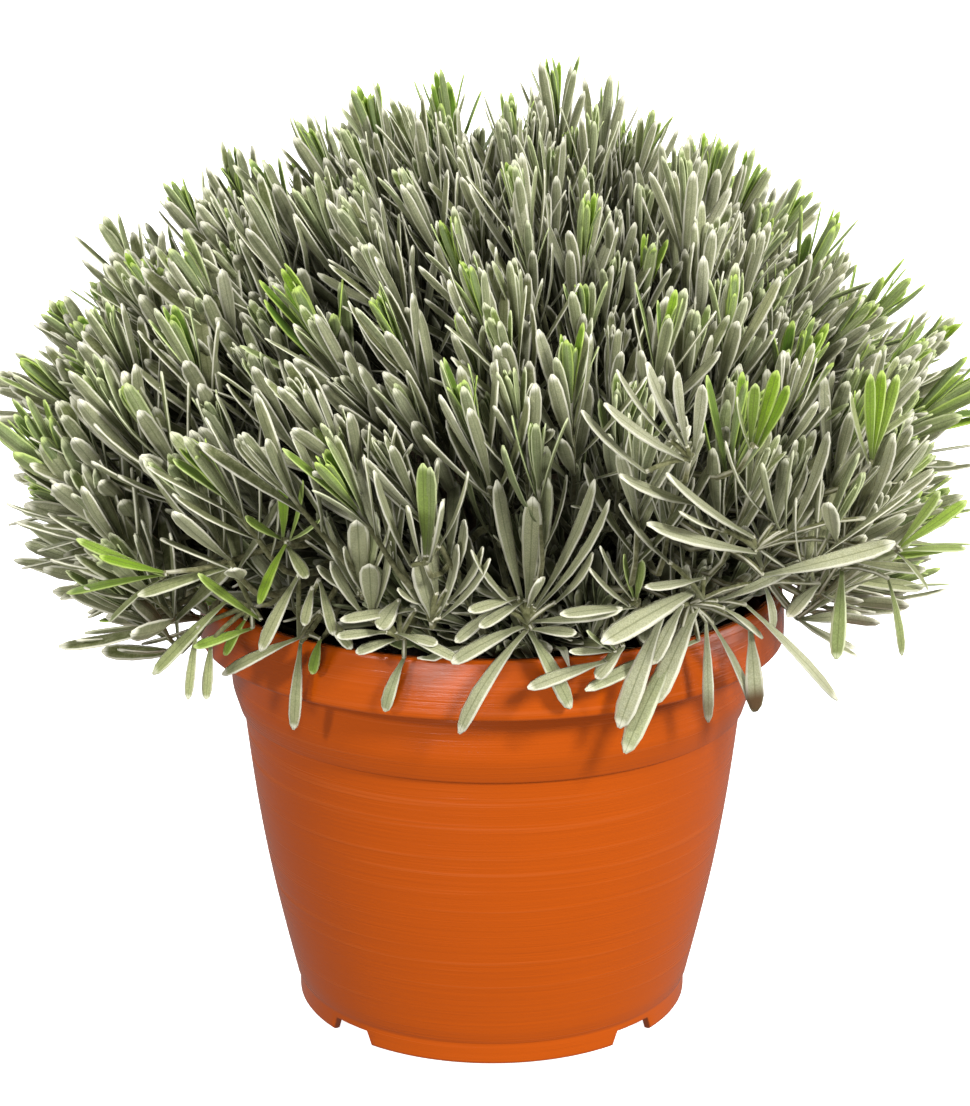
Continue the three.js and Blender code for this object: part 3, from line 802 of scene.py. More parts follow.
def depth_of(points):
    """How much painted shade a point gets: from 0 at the bush's outline to 1 well inside it; the hem by the
    rim counts as less deep.
    """
    off = points - HEART
    far = np.linalg.norm(off, axis=-1)
    climb = np.degrees(np.arcsin(np.clip(off[..., 2] / np.maximum(far, 1), -1, 1)))
    reach = np.interp(climb, [c for c, _ in OUTLINE], [r for _, r in OUTLINE])
    reach = reach * (HEM_REACH + (1 - HEM_REACH) * np.clip((climb - HEM_CLIMB) / HEM_RISE, 0, 1))
    return np.clip((SHADE_FROM - far / reach) / SHADE_OVER, 0, 1)


print("the heart is", depth_of(HEART[None])[0], "deep")

# %% [markdown]
# With numpy the leaves of a bough are grown side by side: the first axis of each array is the leaf, the
# next one the station along it, then the corner of its section, and the last one x, y and z.


# %% Leaves into a heap
def add_leaves(heap, leaves):
    """Grows all leaves of a list into the heap. Each is a dict of numbers and vectors."""
    got = {key: np.array([leaf[key] for leaf in leaves]) for key in leaves[0]}
    path, upper = leaf_path(*(got[key] for key in ("root", "out", "face", "long", "bend", "droop")))
    path = clear_of_rim(path)
    ways = unit(np.gradient(path, axis=1))
    upper = unit(upper - ways * np.sum(upper * ways, axis=-1, keepdims=True))
    across = np.cross(upper, ways)
    half = (got["wide"] / 2)[:, None] * LEAF_WIDTH
    deep = (got["wide"] / 2)[:, None] * (0.5 + 0.5 * LEAF_WIDTH)
    aside, above = LEAF_SECTION.T
    points = path[:, :, None, :] + (half[..., None] * aside)[..., None] * across[:, :, None, :]
    points = (points + (deep[..., None] * above)[..., None] * upper[:, :, None, :]).reshape(-1, 3)
    one = RINGS * CORNERS
    first = (np.arange(len(leaves)) * one)[:, None, None]
    sheets = [ring_faces(RINGS, CORNERS), *end_caps(RINGS, CORNERS)]
    faces = [(sheet[None, :, ::-1] + first).reshape(-1, sheet.shape[1]) for sheet in sheets]
    v, u = np.meshgrid(LEAF_ALONG, (aside + 1) / 2, indexing="ij")
    uv = np.tile(np.stack([u.ravel(), v.ravel()], axis=1), (len(leaves), 1))
    marks = {key: np.repeat(got[key], one) for key in ("young", "tone", "dry", "pale")}
    marks["under"] = np.tile(LEAF_UNDER, RINGS * len(leaves))
    # Painted shade by depth in the bush, less on the leaves that hang at the front.
    marks["deep"] = depth_of(points) * np.repeat(got["shade"], one)
    heap.add(points, faces, uv, **marks)


print("each leaf adds", RINGS * CORNERS, "points")

# %% [markdown]
# ## Leaves that hang over the rim
#
# At the front some sprigs lean over the rim, and their large leaves hang down before the plastic. They
# catch the eye, so each is placed one by one, where the photograph shows its root and its tip. First come
# the
# sprigs: where each ends, the way it points there, and how pale its leaves are.

# %% Sprigs listed one by one
SPRIGS = {
    "middle": ((10, -102, 158), (0.1, -0.4, 1), 0.45),
    "right": ((61, -94, 163), (0.3, -0.6, 0.7), 0.7),
    "right_high": ((75, -104, 181), (0.5, -0.6, 0.6), 0.75),
    "right_top": ((53, -139, 216), (0.0, -0.5, 0.9), 0.95),
    "right_lean": ((42, -102, 165), (-0.2, -0.5, 0.9), 0.5),
    "green_top": ((71, -131, 218), (0.2, -0.4, 1), 0.0),
    "green_right": ((108, -98, 205), (0.4, -0.3, 1), 0.0),
    "far_right": ((104, -71, 166), (0.8, -0.3, 0.1), 0.2),
    "left_middle": ((-27, -100, 153), (-0.1, -0.6, 0.5), 0.45),
    "left_high": ((-18, -106, 160), (-0.1, -0.5, 1), 0.6),
    "left": ((-57, -87, 149), (-0.3, -0.6, 0.4), 0.15),
    "left_low": ((-71, -86, 158), (-0.7, -0.4, 0.2), 0.1),
    "left_fan": ((-38, -101, 167), (-0.1, -0.5, 0.8), 0.5),
    "left_fan_top": ((-19, -123, 182), (-0.1, -0.3, 1.0), 0.5),
    "right_front": ((35, -97, 148), (-0.6, -0.5, -0.1), 0.6),
    "left_green": ((-59, -106, 184), (-0.1, -0.6, 0.5), 0.0),
    "left_far": ((-94, -101, 173), (-0.9, -0.2, 0.1), 0.0),
    "far_right_low": ((118, -89, 177), (0.9, -0.2, 0.2), 0.1),
}
print(len(SPRIGS), "sprigs are placed by hand")

# %% [markdown]
# Then come their leaves, in millimetres. A bend below 0 droops. Three that hang on the right have dried,
# brown tips, and a few young ones are bright green.

# %% Leaves listed one by one
SPRIG_LEAVES = {
    "middle": [
        ((10, -101, 156), (-10, -101, 124), 5.2, -50), ((10, -100, 156), (23, -96, 130), 5.6, -20, 0.1),
        ((9, -101, 157), (-12, -108, 148), 5.4, -30), ((11, -100, 158), (37, -107, 164), 4.8, 15),
        ((10, -103, 163), (11, -123, 201), 5.8, 6), ((11, -102, 164), (15, -121, 206), 5.2, 10, 0.1),
        ((12, -102, 163), (28, -123, 206), 4.6, 22), ((12, -102, 162), (32, -126, 201), 4.4, 26),
        ((9, -103, 163), (1, -120, 205), 5.0, 14), ((9, -102, 161), (-6, -124, 186), 4.8, 18),
        ((18, -104, 165), (28, -116, 183), 4.4, 24), ((10, -104, 164), (13, -117, 176), 6.0, 6),
        ((9, -105, 166), (-4, -112, 160), 4.2, -12), ((7, -106, 167), (-7, -116, 166), 4.2, -12),
        ((2, -105, 164), (-11, -107, 154), 4.4, -16), ((11, -101, 156), (24, -105, 156), 4.0, -12),
    ],
    "right": [
        ((61, -96, 170), (43, -116, 173), 4.0, 8), ((61, -92, 166), (31, -114, 156), 7.8, -14),
        ((49, -96, 158), (37, -96, 124), 7.0, -14), ((60, -88, 159), (47, -92, 130), 7.2, -16),
        ((55, -88, 149), (39, -93, 115), 6.6, -26, 0.15), ((55, -94, 161), (46, -97, 144), 5.2, -12),
        ((63, -84, 153), (65, -77, 119), 3.6, -12, 0, 0.6),
        ((65, -83, 152), (80, -64, 118), 4.4, -16, 0, 1.0),
        ((77, -76, 148), (80, -70, 120), 5.8, -8, 0, 1.0),
        ((75, -80, 157), (105, -68, 123), 4.4, -14, 0, 0.1), ((80, -81, 164), (84, -74, 147), 3.4, -40),
        ((68, -87, 158), (81, -74, 145), 4.4, -14), ((50, -107, 178), (35, -127, 200), 6.0, 10),
        ((61, -83, 147), (27, -97, 136), 5.0, -16, 0.1), ((99, -61, 158), (88, -76, 152), 4.6, -20, 0, 0.3),
        ((66, -86, 160), (90, -89, 173), 4.4, 22),
    ],
    "right_high": [
        ((57, -119, 198), (34, -146, 213), 6.8, 8), ((74, -106, 185), (47, -140, 212), 7.2, 10),
        ((75, -104, 180), (42, -140, 198), 7.2, 6), ((64, -113, 189), (51, -139, 201), 5.4, 6),
        ((80, -105, 189), (63, -136, 220), 4.0, 24), ((85, -98, 183), (93, -117, 218), 4.2, 18),
        ((78, -97, 171), (117, -90, 179), 6.6, 8), ((100, -89, 179), (94, -117, 198), 5.8, 6),
        ((84, -101, 186), (83, -122, 214), 4.0, 10, 0.2), ((82, -102, 186), (74, -128, 212), 4.4, 10, 0.2),
        ((108, -89, 186), (113, -105, 214), 4.2, 18),
    ],
    "right_top": [
        ((53, -138, 215), (29, -161, 236), 6.6, 12), ((52, -140, 219), (40, -157, 246), 6.6, 8),
        ((47, -142, 222), (32, -161, 245), 4.6, 10), ((41, -142, 213), (23, -160, 234), 5.2, 12),
        ((52, -141, 220), (48, -154, 243), 4.2, 8), ((54, -138, 217), (55, -152, 239), 3.8, 12),
    ],
    "right_lean": [
        ((39, -104, 164), (27, -121, 180), 5.0, 10), ((40, -104, 166), (30, -120, 186), 4.2, 10),
        ((41, -103, 165), (37, -114, 182), 3.4, 10, 0.8), ((41, -103, 165), (42, -112, 180), 3.2, 10, 0.6),
        ((41, -102, 163), (19, -116, 165), 4.4, -10),
    ],
    "green_top": [
        ((71, -131, 217), (76, -138, 240), 4.0, 8, 1.0), ((72, -131, 217), (79, -139, 236), 3.8, 10, 1.0),
        ((70, -131, 218), (70, -141, 237), 3.4, 8, 0.8), ((70, -132, 217), (65, -144, 234), 3.8, 10, 0.3),
    ],
    "green_right": [
        ((108, -98, 205), (105, -110, 233), 3.8, 6, 0.9), ((108, -98, 205), (109, -105, 233), 3.8, 8, 1.0),
        ((108, -98, 205), (114, -101, 231), 3.6, 10, 0.8), ((107, -100, 205), (99, -115, 229), 4.2, 8, 0.2),
    ],
    "far_right": [
        ((105, -66, 164), (104, -68, 136), 5.0, -20, 0.35),
        ((120, -59, 159), (126, -55, 133), 3.0, -30, 0.3, 0.1), ((107, -71, 168), (130, -67, 164), 4.2, 6),
    ],
    "left_middle": [
        ((-35, -102, 161), (-35, -114, 179), 6.2, 6), ((-31, -101, 155), (-45, -105, 155), 3.8, -20),
        ((-28, -101, 155), (-9, -107, 148), 3.8, -24), ((-26, -94, 145), (-32, -93, 128), 4.2, -40, 0.1),
        ((-37, -102, 160), (-46, -111, 179), 4.4, 14), ((-34, -102, 162), (-29, -118, 187), 4.6, 12),
        ((-22, -104, 163), (-44, -105, 160), 4.2, -10), ((-27, -105, 166), (-33, -107, 158), 6.2, -8),
        ((-28, -98, 152), (-40, -98, 148), 4.0, -16), ((-26, -100, 154), (-16, -106, 153), 4.0, -16),
    ],
    "left_high": [
        ((-17, -106, 160), (-21, -117, 182), 6.8, 6), ((-16, -106, 161), (-10, -122, 187), 4.6, 14),
        ((-18, -105, 161), (-28, -119, 184), 4.6, 14), ((-17, -106, 163), (-18, -123, 194), 5.0, 10, 0.1),
        ((-15, -106, 161), (-1, -122, 183), 4.4, 20), ((-13, -111, 171), (-8, -125, 195), 4.4, 20),
        ((-13, -108, 166), (-3, -121, 186), 4.6, 26), ((-16, -111, 170), (-18, -121, 189), 5.6, 8),
        ((-19, -107, 165), (-27, -115, 172), 4.0, 12),
    ],
    "left": [
        ((-56, -100, 172), (-68, -97, 148), 4.8, -14), ((-52, -99, 168), (-55, -98, 156), 3.6, -10),
        ((-50, -101, 171), (-46, -101, 154), 3.4, -14), ((-57, -87, 149), (-81, -79, 135), 4.8, -14),
        ((-57, -83, 146), (-60, -78, 117), 4.0, -10, 0, 0.1),
        ((-51, -85, 148), (-54, -82, 136), 3.8, -10, 0.8), ((-50, -96, 160), (-41, -98, 149), 4.0, -16),
    ],
    "left_low": [
        ((-68, -89, 155), (-85, -99, 172), 4.0, 8, 0.8), ((-71, -84, 151), (-88, -90, 147), 4.0, -8, 0.8),
        ((-76, -95, 173), (-103, -97, 165), 4.8, -10, 0.1),
        ((-78, -89, 161), (-101, -85, 137), 5.2, -10, 0.2),
        ((-87, -88, 152), (-90, -91, 131), 3.0, -20, 0.1),
        ((-83, -87, 148), (-85, -88, 130), 3.4, -10, 0.1),
        ((-73, -85, 154), (-80, -82, 142), 3.6, -10, 0.9),
    ],
    "left_fan": [
        ((-38, -102, 167), (-38, -118, 193), 6.4, 8), ((-39, -102, 167), (-48, -114, 193), 4.2, 16),
        ((-38, -102, 168), (-29, -121, 193), 4.4, 18), ((-37, -102, 167), (-42, -114, 184), 5.0, 12),
        ((-37, -103, 168), (-33, -117, 195), 4.6, 10, 0.2), ((-39, -101, 166), (-50, -109, 177), 4.2, 10),
    ],
    "left_fan_top": [
        ((-23, -122, 181), (-32, -145, 214), 5.2, 8), ((-20, -123, 183), (-23, -140, 203), 5.0, 8),
        ((-18, -124, 183), (-14, -142, 205), 7.0, 6), ((-15, -126, 188), (-7, -146, 214), 4.2, 16),
        ((-19, -125, 185), (-19, -145, 216), 4.0, 8, 0.7),
        ((-18, -125, 185), (-17, -145, 215), 3.8, 8, 0.5),
    ],
    "right_front": [
        ((33, -97, 145), (10, -104, 139), 5.0, -14), ((35, -97, 148), (22, -107, 151), 3.2, -8),
        ((35, -97, 148), (27, -106, 157), 3.0, 6, 0.3), ((36, -97, 148), (32, -103, 156), 3.0, 6, 0.4),
        ((38, -96, 149), (30, -98, 140), 5.0, -16),
    ],
    "left_green": [
        ((-59, -106, 183), (-68, -99, 163), 4.2, -16, 1.0),
        ((-58, -106, 184), (-53, -120, 205), 3.8, 10, 0.9),
        ((-60, -105, 184), (-59, -117, 203), 3.8, 8, 1.0),
        ((-58, -106, 184), (-48, -119, 194), 3.6, 12, 0.7),
        ((-60, -105, 184), (-70, -110, 192), 3.6, 10, 0.8),
        ((-59, -104, 182), (-53, -107, 173), 4.0, -14, 0.1),
    ],
    "left_far": [
        ((-94, -101, 172), (-120, -97, 182), 3.8, 10, 0.8),
        ((-95, -100, 172), (-126, -81, 161), 3.8, -8, 0.9),
        ((-94, -101, 173), (-113, -101, 178), 3.6, 8, 1.0),
        ((-96, -96, 170), (-114, -81, 152), 3.6, -14, 0.2),
    ],
    "far_right_low": [
        ((118, -89, 177), (139, -80, 189), 4.2, 8, 0.8), ((119, -88, 176), (141, -71, 172), 3.6, -8, 0.5),
        ((118, -90, 178), (128, -97, 196), 3.8, 8, 0.6), ((118, -86, 175), (130, -74, 160), 3.6, -16, 0.1),
    ],
}  # root and tip, width, bend in degrees, and where they aren't 0, how young and how dry
print(sum(len(leaves) for leaves in SPRIG_LEAVES.values()), "leaves are placed by hand")

# %% [markdown]
# A sprig grows in a curve from the fork of the nearest bough, and each of its leaves has a short stalk. The
# leaf itself is an arc: its length and its start follow from its root, its tip and its bend.

# %% From bough to sprig to leaf
SPRIG_RADII = [1.4, 1.3, 1.2, 1.1, 1.0, 0.9, 0.8, 0.6]
STALK_RADII = [0.8, 0.8, 0.8, 0.7]
# The bush's darkness is painted shade.
HAND_SHADE = 0.3  # how much of the bush's darkness these leaves keep


def nearest_bough(point):
    return 1 + min(range(BOUGHS), key=lambda b: np.linalg.norm(boughs[b]["fork"] - point))


def sprig_path(bough, end, way):
    end, way = np.array(end, dtype=float), unit(np.array(way, dtype=float))
    far = np.linalg.norm(end - bough["fork"])
    lift = np.array([0, 0, 0.2 * far])
    start = bough["fork"] - bough["way"] * 4
    leave, arrive = start + bough["way"] * far * 0.3 + lift, end - way * far * 0.3
    return bezier(start, leave, arrive, end, len(SPRIG_RADII))


def stalk(path, root):
    """From the nearest point of a sprig to a leaf's root, rising a little on the way."""
    nearest = path[np.argmin(np.linalg.norm(path - root, axis=1))]
    middle = (nearest + root) / 2 + (0, 0, 0.15 * np.linalg.norm(root - nearest))
    return bezier(nearest, (nearest + middle) / 2, (middle + root) / 2, root, len(STALK_RADII))


def hand_leaf(pale, root, tip, wide, bend, young=0.0, dry=0.0):
    """A leaf from its root to its tip, its upper side up and outward, that bends by some degrees."""
    root, tip = np.array(root, dtype=float), np.array(tip, dtype=float)
    chord = unit(tip - root)
    upper = np.array([0.0, -0.75, 1.0])
    upper = unit(upper - chord * np.dot(upper, chord))
    half = math.radians(bend) / 2
    return {
        "root": root,
        "out": math.cos(half) * chord - math.sin(half) * upper,
        "face": math.cos(half) * upper + math.sin(half) * chord,
        "long": np.linalg.norm(tip - root) * half / math.sin(half),
        "wide": wide,
        "bend": 2 * half,
        "droop": 0.0,
        "young": young,
        "tone": 0.5 + chance(root[0] + tip[0] * 7, 51) / 2,
        "dry": dry,
        "pale": pale,
        "shade": HAND_SHADE,
        "share": 1,
    }


owner = {name: nearest_bough(np.array(end)) for name, (end, _, _) in SPRIGS.items()}
print("sprigs and the boughs that carry them:", owner)

# %% [markdown]
# No other leaf may hide these, or hang in front of the pot's lip, or cut through the rim. So each leaf that
# the rule grows is tested first against points on the listed leaves, and against the lip. The camera
# looks down a little, which is why things in front have to be higher to be in the way.

# %% Room for them
SHOWN_AT = (0.1, 0.32, 0.55, 0.78, 1)
HAND_ROOM, HAND_DEPTH = 4.2, 4
RIM_WIDE, LIP_LOW = 4, 1
RIM_SLOPE = 0.325  # leaves and stems keep above a plane that rises so from the front lip
shown = np.array([
    np.array(root) + (np.array(tip) - root) * share
    for leaves in SPRIG_LEAVES.values() for root, tip, *_ in leaves for share in SHOWN_AT
])


def hides_hand_leaf(*points):
    """True for a leaf that would stand in front of one of the listed leaves, seen from a little above."""
    for point in points:
        aside = point[0] - shown[:, 0]
        above = point[2] - shown[:, 2] + RIM_SLOPE * (point[1] - shown[:, 1])
        if np.any((np.hypot(aside, above) < HAND_ROOM) & (point[1] < shown[:, 1] + HAND_DEPTH)):
            return True
    return False


def over_lip(point):
    """How far above the front lip's plane a point is, and plenty where it isn't before the lip."""
    if abs(point[0]) > RIM_RADIUS:
        return 99.0
    ahead = -math.sqrt(RIM_RADIUS**2 - point[0] ** 2) - point[1]
    return point[2] - POT_HEIGHT - RIM_SLOPE * ahead if ahead > -2 else 99.0


def through_rim(root, end):
    """Whether a leaf that starts inside the rim would cross its wall below the lip."""
    inner = RIM_RADIUS - RIM_WIDE
    inside, outside = math.hypot(*root[:2]), math.hypot(*end[:2])
    if inside > inner or outside < inner:
        return False
    share = (inner - inside) / (outside - inside)
    return root[2] + share * (end[2] - root[2]) < POT_HEIGHT - LIP_LOW


print(len(shown), "points on the hand-placed leaves are kept in view")

# %% [markdown]
# ## A leafy shoot
#
# Lavender leaves grow in pairs, each pair turned a quarter from the one below. The lowest lean far out, and
# those higher up stand closer and are shorter, down to the tuft of young leaves at the tip. So one rule
# with a share from 0 at the bottom to 1 at the top gives the whole shoot, and chance shifts each leaf.

# %% Shoot form
SHOOT_LONG = 30  # from a shoot's foot to its tip
PAIRS = 10
LEAF_LONG = [(0, 27), (0.25, 33), (0.5, 31), (0.7, 25), (0.85, 20), (1, 15)]
LEAF_LEAN = [(0, 52), (0.25, 36), (0.5, 22), (0.7, 13), (0.85, 8), (1, 4)]
PAIR_HEIGHT = [(0, -16), (0.3, -4), (0.6, 6), (0.85, 12), (1, 15)]
LEAFY_FROM, LEAFY_TO, LEAFY_CLEAR = -14, 12, 3
STEM_TOP = 17


def along_list(points, share):
    return float(np.interp(share, [p[0] for p in points], [p[1] for p in points]))


def lowest_point(shoot):
    """How far above a shoot's foot its stem starts to carry leaves: higher where the lip is in front."""
    foot = shoot["tip"] - shoot["heading"] * SHOOT_LONG
    heights = range(LEAFY_FROM, LEAFY_TO, 2)
    clear = (t for t in heights if over_lip(foot + shoot["heading"] * t) > LEAFY_CLEAR)
    return next(clear, LEAFY_TO)


def full_count(shoot):
    """How many leaves a shoot has if none is left out."""
    return 2 * (PAIRS - shoot["from_pair"])


print("a whole shoot has", full_count(WHOLE), "leaves")

# %% [markdown]
# Shoots differ too. Some are more vigorous, with a brighter tuft. Those high on the bush are more slender
# and get painted shade, and those on the right, where the light falls, get painted light that makes them
# lighter and paler. These traits belong to the shoot, and each leaf then takes its share of them.

# %% Traits of a shoot
LEAF_WIDE = 4.8
BROADER_LEFT, LEFT_FROM, LEFT_OVER, LEFT_BEFORE = 0.24, -40, 50, 30
SLENDER_HIGH, SLENDER_CLIMB = 0.2, math.radians(55)
# Painted light makes shoots on the right lighter and whiter; painted shade makes high shoots darker.
PAINTED_LIGHT_RIGHT, RIGHT_OVER, PAINTED_LIGHT_WHITER_RIGHT = 0.34, 120, 0.3
PAINTED_SHADE_TOP, TOP_FROM, TOP_OVER = 0.34, 205, 80
VIGOROUS, MOST_VIGOROUS = 0.4, 0.93


def traits_of(shoot):
    item, (across, toward, rise) = shoot["item"], shoot["tip"]
    vigour = chance(item, 31)
    fresh = 0.75 + 0.25 * vigour if vigour > VIGOROUS else 1.4 * vigour
    grown = 1.07 - 0.17 * shoot["climb"] / (math.pi / 2) + spread(item, 19, 0.09)
    slender = 1 - SLENDER_HIGH * min(1, max(0, shoot["climb"]) / SLENDER_CLIMB)
    broader = 1 + BROADER_LEFT * held((LEFT_FROM - across) / LEFT_OVER) * (toward < LEFT_BEFORE)
    rightward = min(1, max(-1, across / RIGHT_OVER))
    return {
        "fresh": 1.0 if shoot["greens"] == BRIGHT else fresh * shoot["greens"],
        "green_from": 0.1 if vigour > MOST_VIGOROUS else 0.5,
        "slender": slender,
        "long": shoot["size"] * grown,
        "wide": LEAF_WIDE * grown * slender * broader,
        # painted light on the right and painted shade high up
        "painted_light_and_shade": 0.98 + PAINTED_LIGHT_RIGHT * rightward - PAINTED_SHADE_TOP * held((rise - TOP_FROM) / TOP_OVER),
        "pale_with_painted_light": PAINTED_LIGHT_WHITER_RIGHT * max(0, rightward),
    }


print("the first shoot is", {key: round(float(value), 2) for key, value in traits_of(shoots[0]).items()})

# %% [markdown]
# Each leaf leans out from the stem by its place on the shoot, and is twisted a little about itself. By the
# rim the lowest pairs have no room, so they crowd together higher up and lean out further.

# %% How a leaf is set
LEAF_VARIES = {"about": 22, "lean": 0.22, "tilt": 4, "twist": 26, "long": 0.13, "wide": 0.12, "bend": 20}
CROWDED_LEAN, CROWDED_MOST, CROWDED_STEP = 4, 9, 0.15  # for leaves that the rim pushes up the stem


def set_of_leaf(shoot, traits, leaf, about, share, lowest):
    """Where one leaf starts, the way it goes and the way its upper side looks."""
    heading = shoot["heading"]
    lean = along_list(LEAF_LEAN, share) * traits["slender"] * (1 + spread(leaf, 8, LEAF_VARIES["lean"]))
    lean += spread(leaf, 9, LEAF_VARIES["tilt"])
    height = along_list(PAIR_HEIGHT, share)
    if height < lowest:
        lean += CROWDED_LEAN * min(CROWDED_MOST, lowest - height)
        height = lowest + CROWDED_STEP * (height - lowest)
    lean = math.radians(lean)
    first = unit(np.cross(heading, (0.36, 0.48, 0.8)))
    radial = math.cos(about) * first + math.sin(about) * np.cross(heading, first)
    out = math.cos(lean) * heading + math.sin(lean) * radial
    face = math.sin(lean) * heading - math.cos(lean) * radial
    twist = math.radians(spread(leaf, 10, LEAF_VARIES["twist"]))
    face = math.cos(twist) * face + math.sin(twist) * np.cross(out, face)
    return shoot["tip"] - heading * SHOOT_LONG + heading * height, out, face


print("leaves vary by", LEAF_VARIES)

# %% [markdown]
# Leaves that would hang before the lip are left out, some a little sooner than others, so that the hem is
# ragged as in nature. A shoot that lost half of its leaves, or most of its tuft, is left out as a whole.

# %% Leaves of a shoot
LIP_LEAST, LIP_VARIES = -4, 5
LONGEST = 1.3  # how much longer a leaf may turn out than the list says
LEAST_LEAVES, TUFT_FROM, LEAST_TUFT = 0.5, 0.6, 4
LEAF_NUMBERS = 40  # kept for the leaves of each shoot


def in_the_way(shoot, leaf, root, end):
    least = LIP_VARIES * chance(leaf, 18) + LIP_LEAST if shoot["above_lip"] is None else shoot["above_lip"]
    if over_lip(end) < least or through_rim(root, root + LONGEST * (end - root)):
        return True
    return hides_hand_leaf((root + end) / 2, end)


def shoot_leaves(shoot):
    """All leaves of a shoot, or none where too many would be in the way."""
    item, traits, lowest = shoot["item"], traits_of(shoot), lowest_point(shoot)
    leaves = []
    for k in range(shoot["from_pair"], PAIRS):
        share = k / (PAIRS - 1)
        for j in range(2):
            leaf = item * LEAF_NUMBERS + k * 2 + j
            varied = spread(item, 6, 90) + spread(leaf, 7, LEAF_VARIES["about"])
            about = math.radians(90 * k + 180 * j + varied)
            root, out, face = set_of_leaf(shoot, traits, leaf, about, share, lowest)
            long = along_list(LEAF_LONG, share)
            if in_the_way(shoot, leaf, root, root + out * long):
                continue
            young = held((share - traits["green_from"]) / 0.25) * traits["fresh"]
            narrowed = 0.5 + 0.5 * min(1, (1 - share) * 1.6)
            leaves.append({
                "root": root,
                "out": out,
                "face": face,
                "long": long * traits["long"] * (1 + spread(leaf, 11, LEAF_VARIES["long"])),
                "wide": traits["wide"] * narrowed * (1 + spread(leaf, 12, LEAF_VARIES["wide"])),
                "bend": math.radians(22 * (1 - share) - 4 + spread(leaf, 13, LEAF_VARIES["bend"])),
                "droop": 0.05 * chance(leaf, 14) * (1 - share),
                "young": min(1.0, young * (0.8 + 0.4 * chance(leaf, 15))),
                # The tone carries the shoot's painted light and painted shade.
                "tone": min(1.0, chance(leaf, 16) * traits["painted_light_and_shade"]),
                "dry": 0.0,
                "pale": chance(leaf, 20) ** 4 * 0.8 + traits["pale_with_painted_light"],
                "shade": 1.0,
                "share": share,
            })
    tuft = sum(leaf["share"] > TUFT_FROM for leaf in leaves)
    return leaves if len(leaves) > LEAST_LEAVES * full_count(shoot) and tuft > LEAST_TUFT else []


print("the first shoot grows", len(shoot_leaves(shoots[0])), "leaves")

# %% [markdown]
# The stem of a shoot starts inside its bough, bends into the shoot's own heading, and ends in the top pair
# of leaves. Where it has to pass the rim, it arches over it.


# %% Stem of a shoot
def stem_path(bough, shoot):
    """From inside the bough's fork to the top pair of leaves."""
    heading = shoot["heading"]
    foot = shoot["tip"] - heading * SHOOT_LONG
    lowest = lowest_point(shoot)
    leafy = foot + heading * lowest
    start = bough["start"] + (bough["fork"] - bough["start"]) * (0.45 + 0.5 * chance(shoot["item"], 17))
    far = np.linalg.norm(leafy - start)
    arrive = heading if lowest < -10 else unit(0.35 * heading + unit(leafy - start))
    path = bezier(start, start + bough["way"] * far * 0.4, leafy - arrive * far * 0.35, leafy, 8)
    over = np.sin(np.linspace(0, np.pi, len(path))) * max(0, OVER_RIM + ARCH - leafy[2]) * 0.5
    path[:, 2] += over * (leafy[2] < OVER_RIM)
    top = foot + heading * STEM_TOP
    return np.concatenate([path, [leafy + (top - leafy) * 0.5, top]])


print("the first stem has", len(stem_path(boughs[0], shoots[0])), "stations")

# %% [markdown]
# ## Leaf and stem finish
#
# Lavender leaves are covered with short pale hairs. They look sage grey, with a paler margin where the edge
# rolls under and a fine groove along the middle. Young leaves have fewer hairs and are yellow-green. The
# marks on each point say how young it is, whether it looks down, or whether it belongs to a stem.

# %% Foliage marks
foliage = Net("lavender leaf")
across_along = foliage.node("ShaderNodeSeparateXYZ")
foliage.put(across_along.inputs[0], foliage.node("ShaderNodeUVMap", uv_map="UVMap").outputs[0])
u, v = across_along.outputs[0], across_along.outputs[1]
off_middle = foliage.math("ABSOLUTE", foliage.times(foliage.math("SUBTRACT", u, 0.5), 2.0))
margin = foliage.math("MAXIMUM", foliage.ramp(off_middle, 0.68, 0.86), foliage.ramp(v, 0.9, 0.98))
groove = foliage.ramp(off_middle, 0.02, 0.12, 1.0, 0.0)
mottle = foliage.noise(EVEN, 520, 4, 0.65)
felt = foliage.noise(EVEN, 2600, 2, 0.6)
young, tone, downy, woody, dry, deep, pale_with_painted_light = (foliage.mark(mark) for mark in MARKS)
print("the foliage asks for", len(MARKS), "marks")

# %% [markdown]
# The colour is laid on in coats, as a painter would: sage grey, its pale hairs with painted light on the
# right, the green of young leaves, the paler underside, dark specks of felt, the margin, painted shade in
# the groove, painted shade at the base and the dried tips. Stems get bark, and last of all painted shade
# darkens what lies deep in the bush.

# %% Foliage finish
sage = foliage.mix(tone, srgb(66, 74, 26), srgb(157, 160, 112))
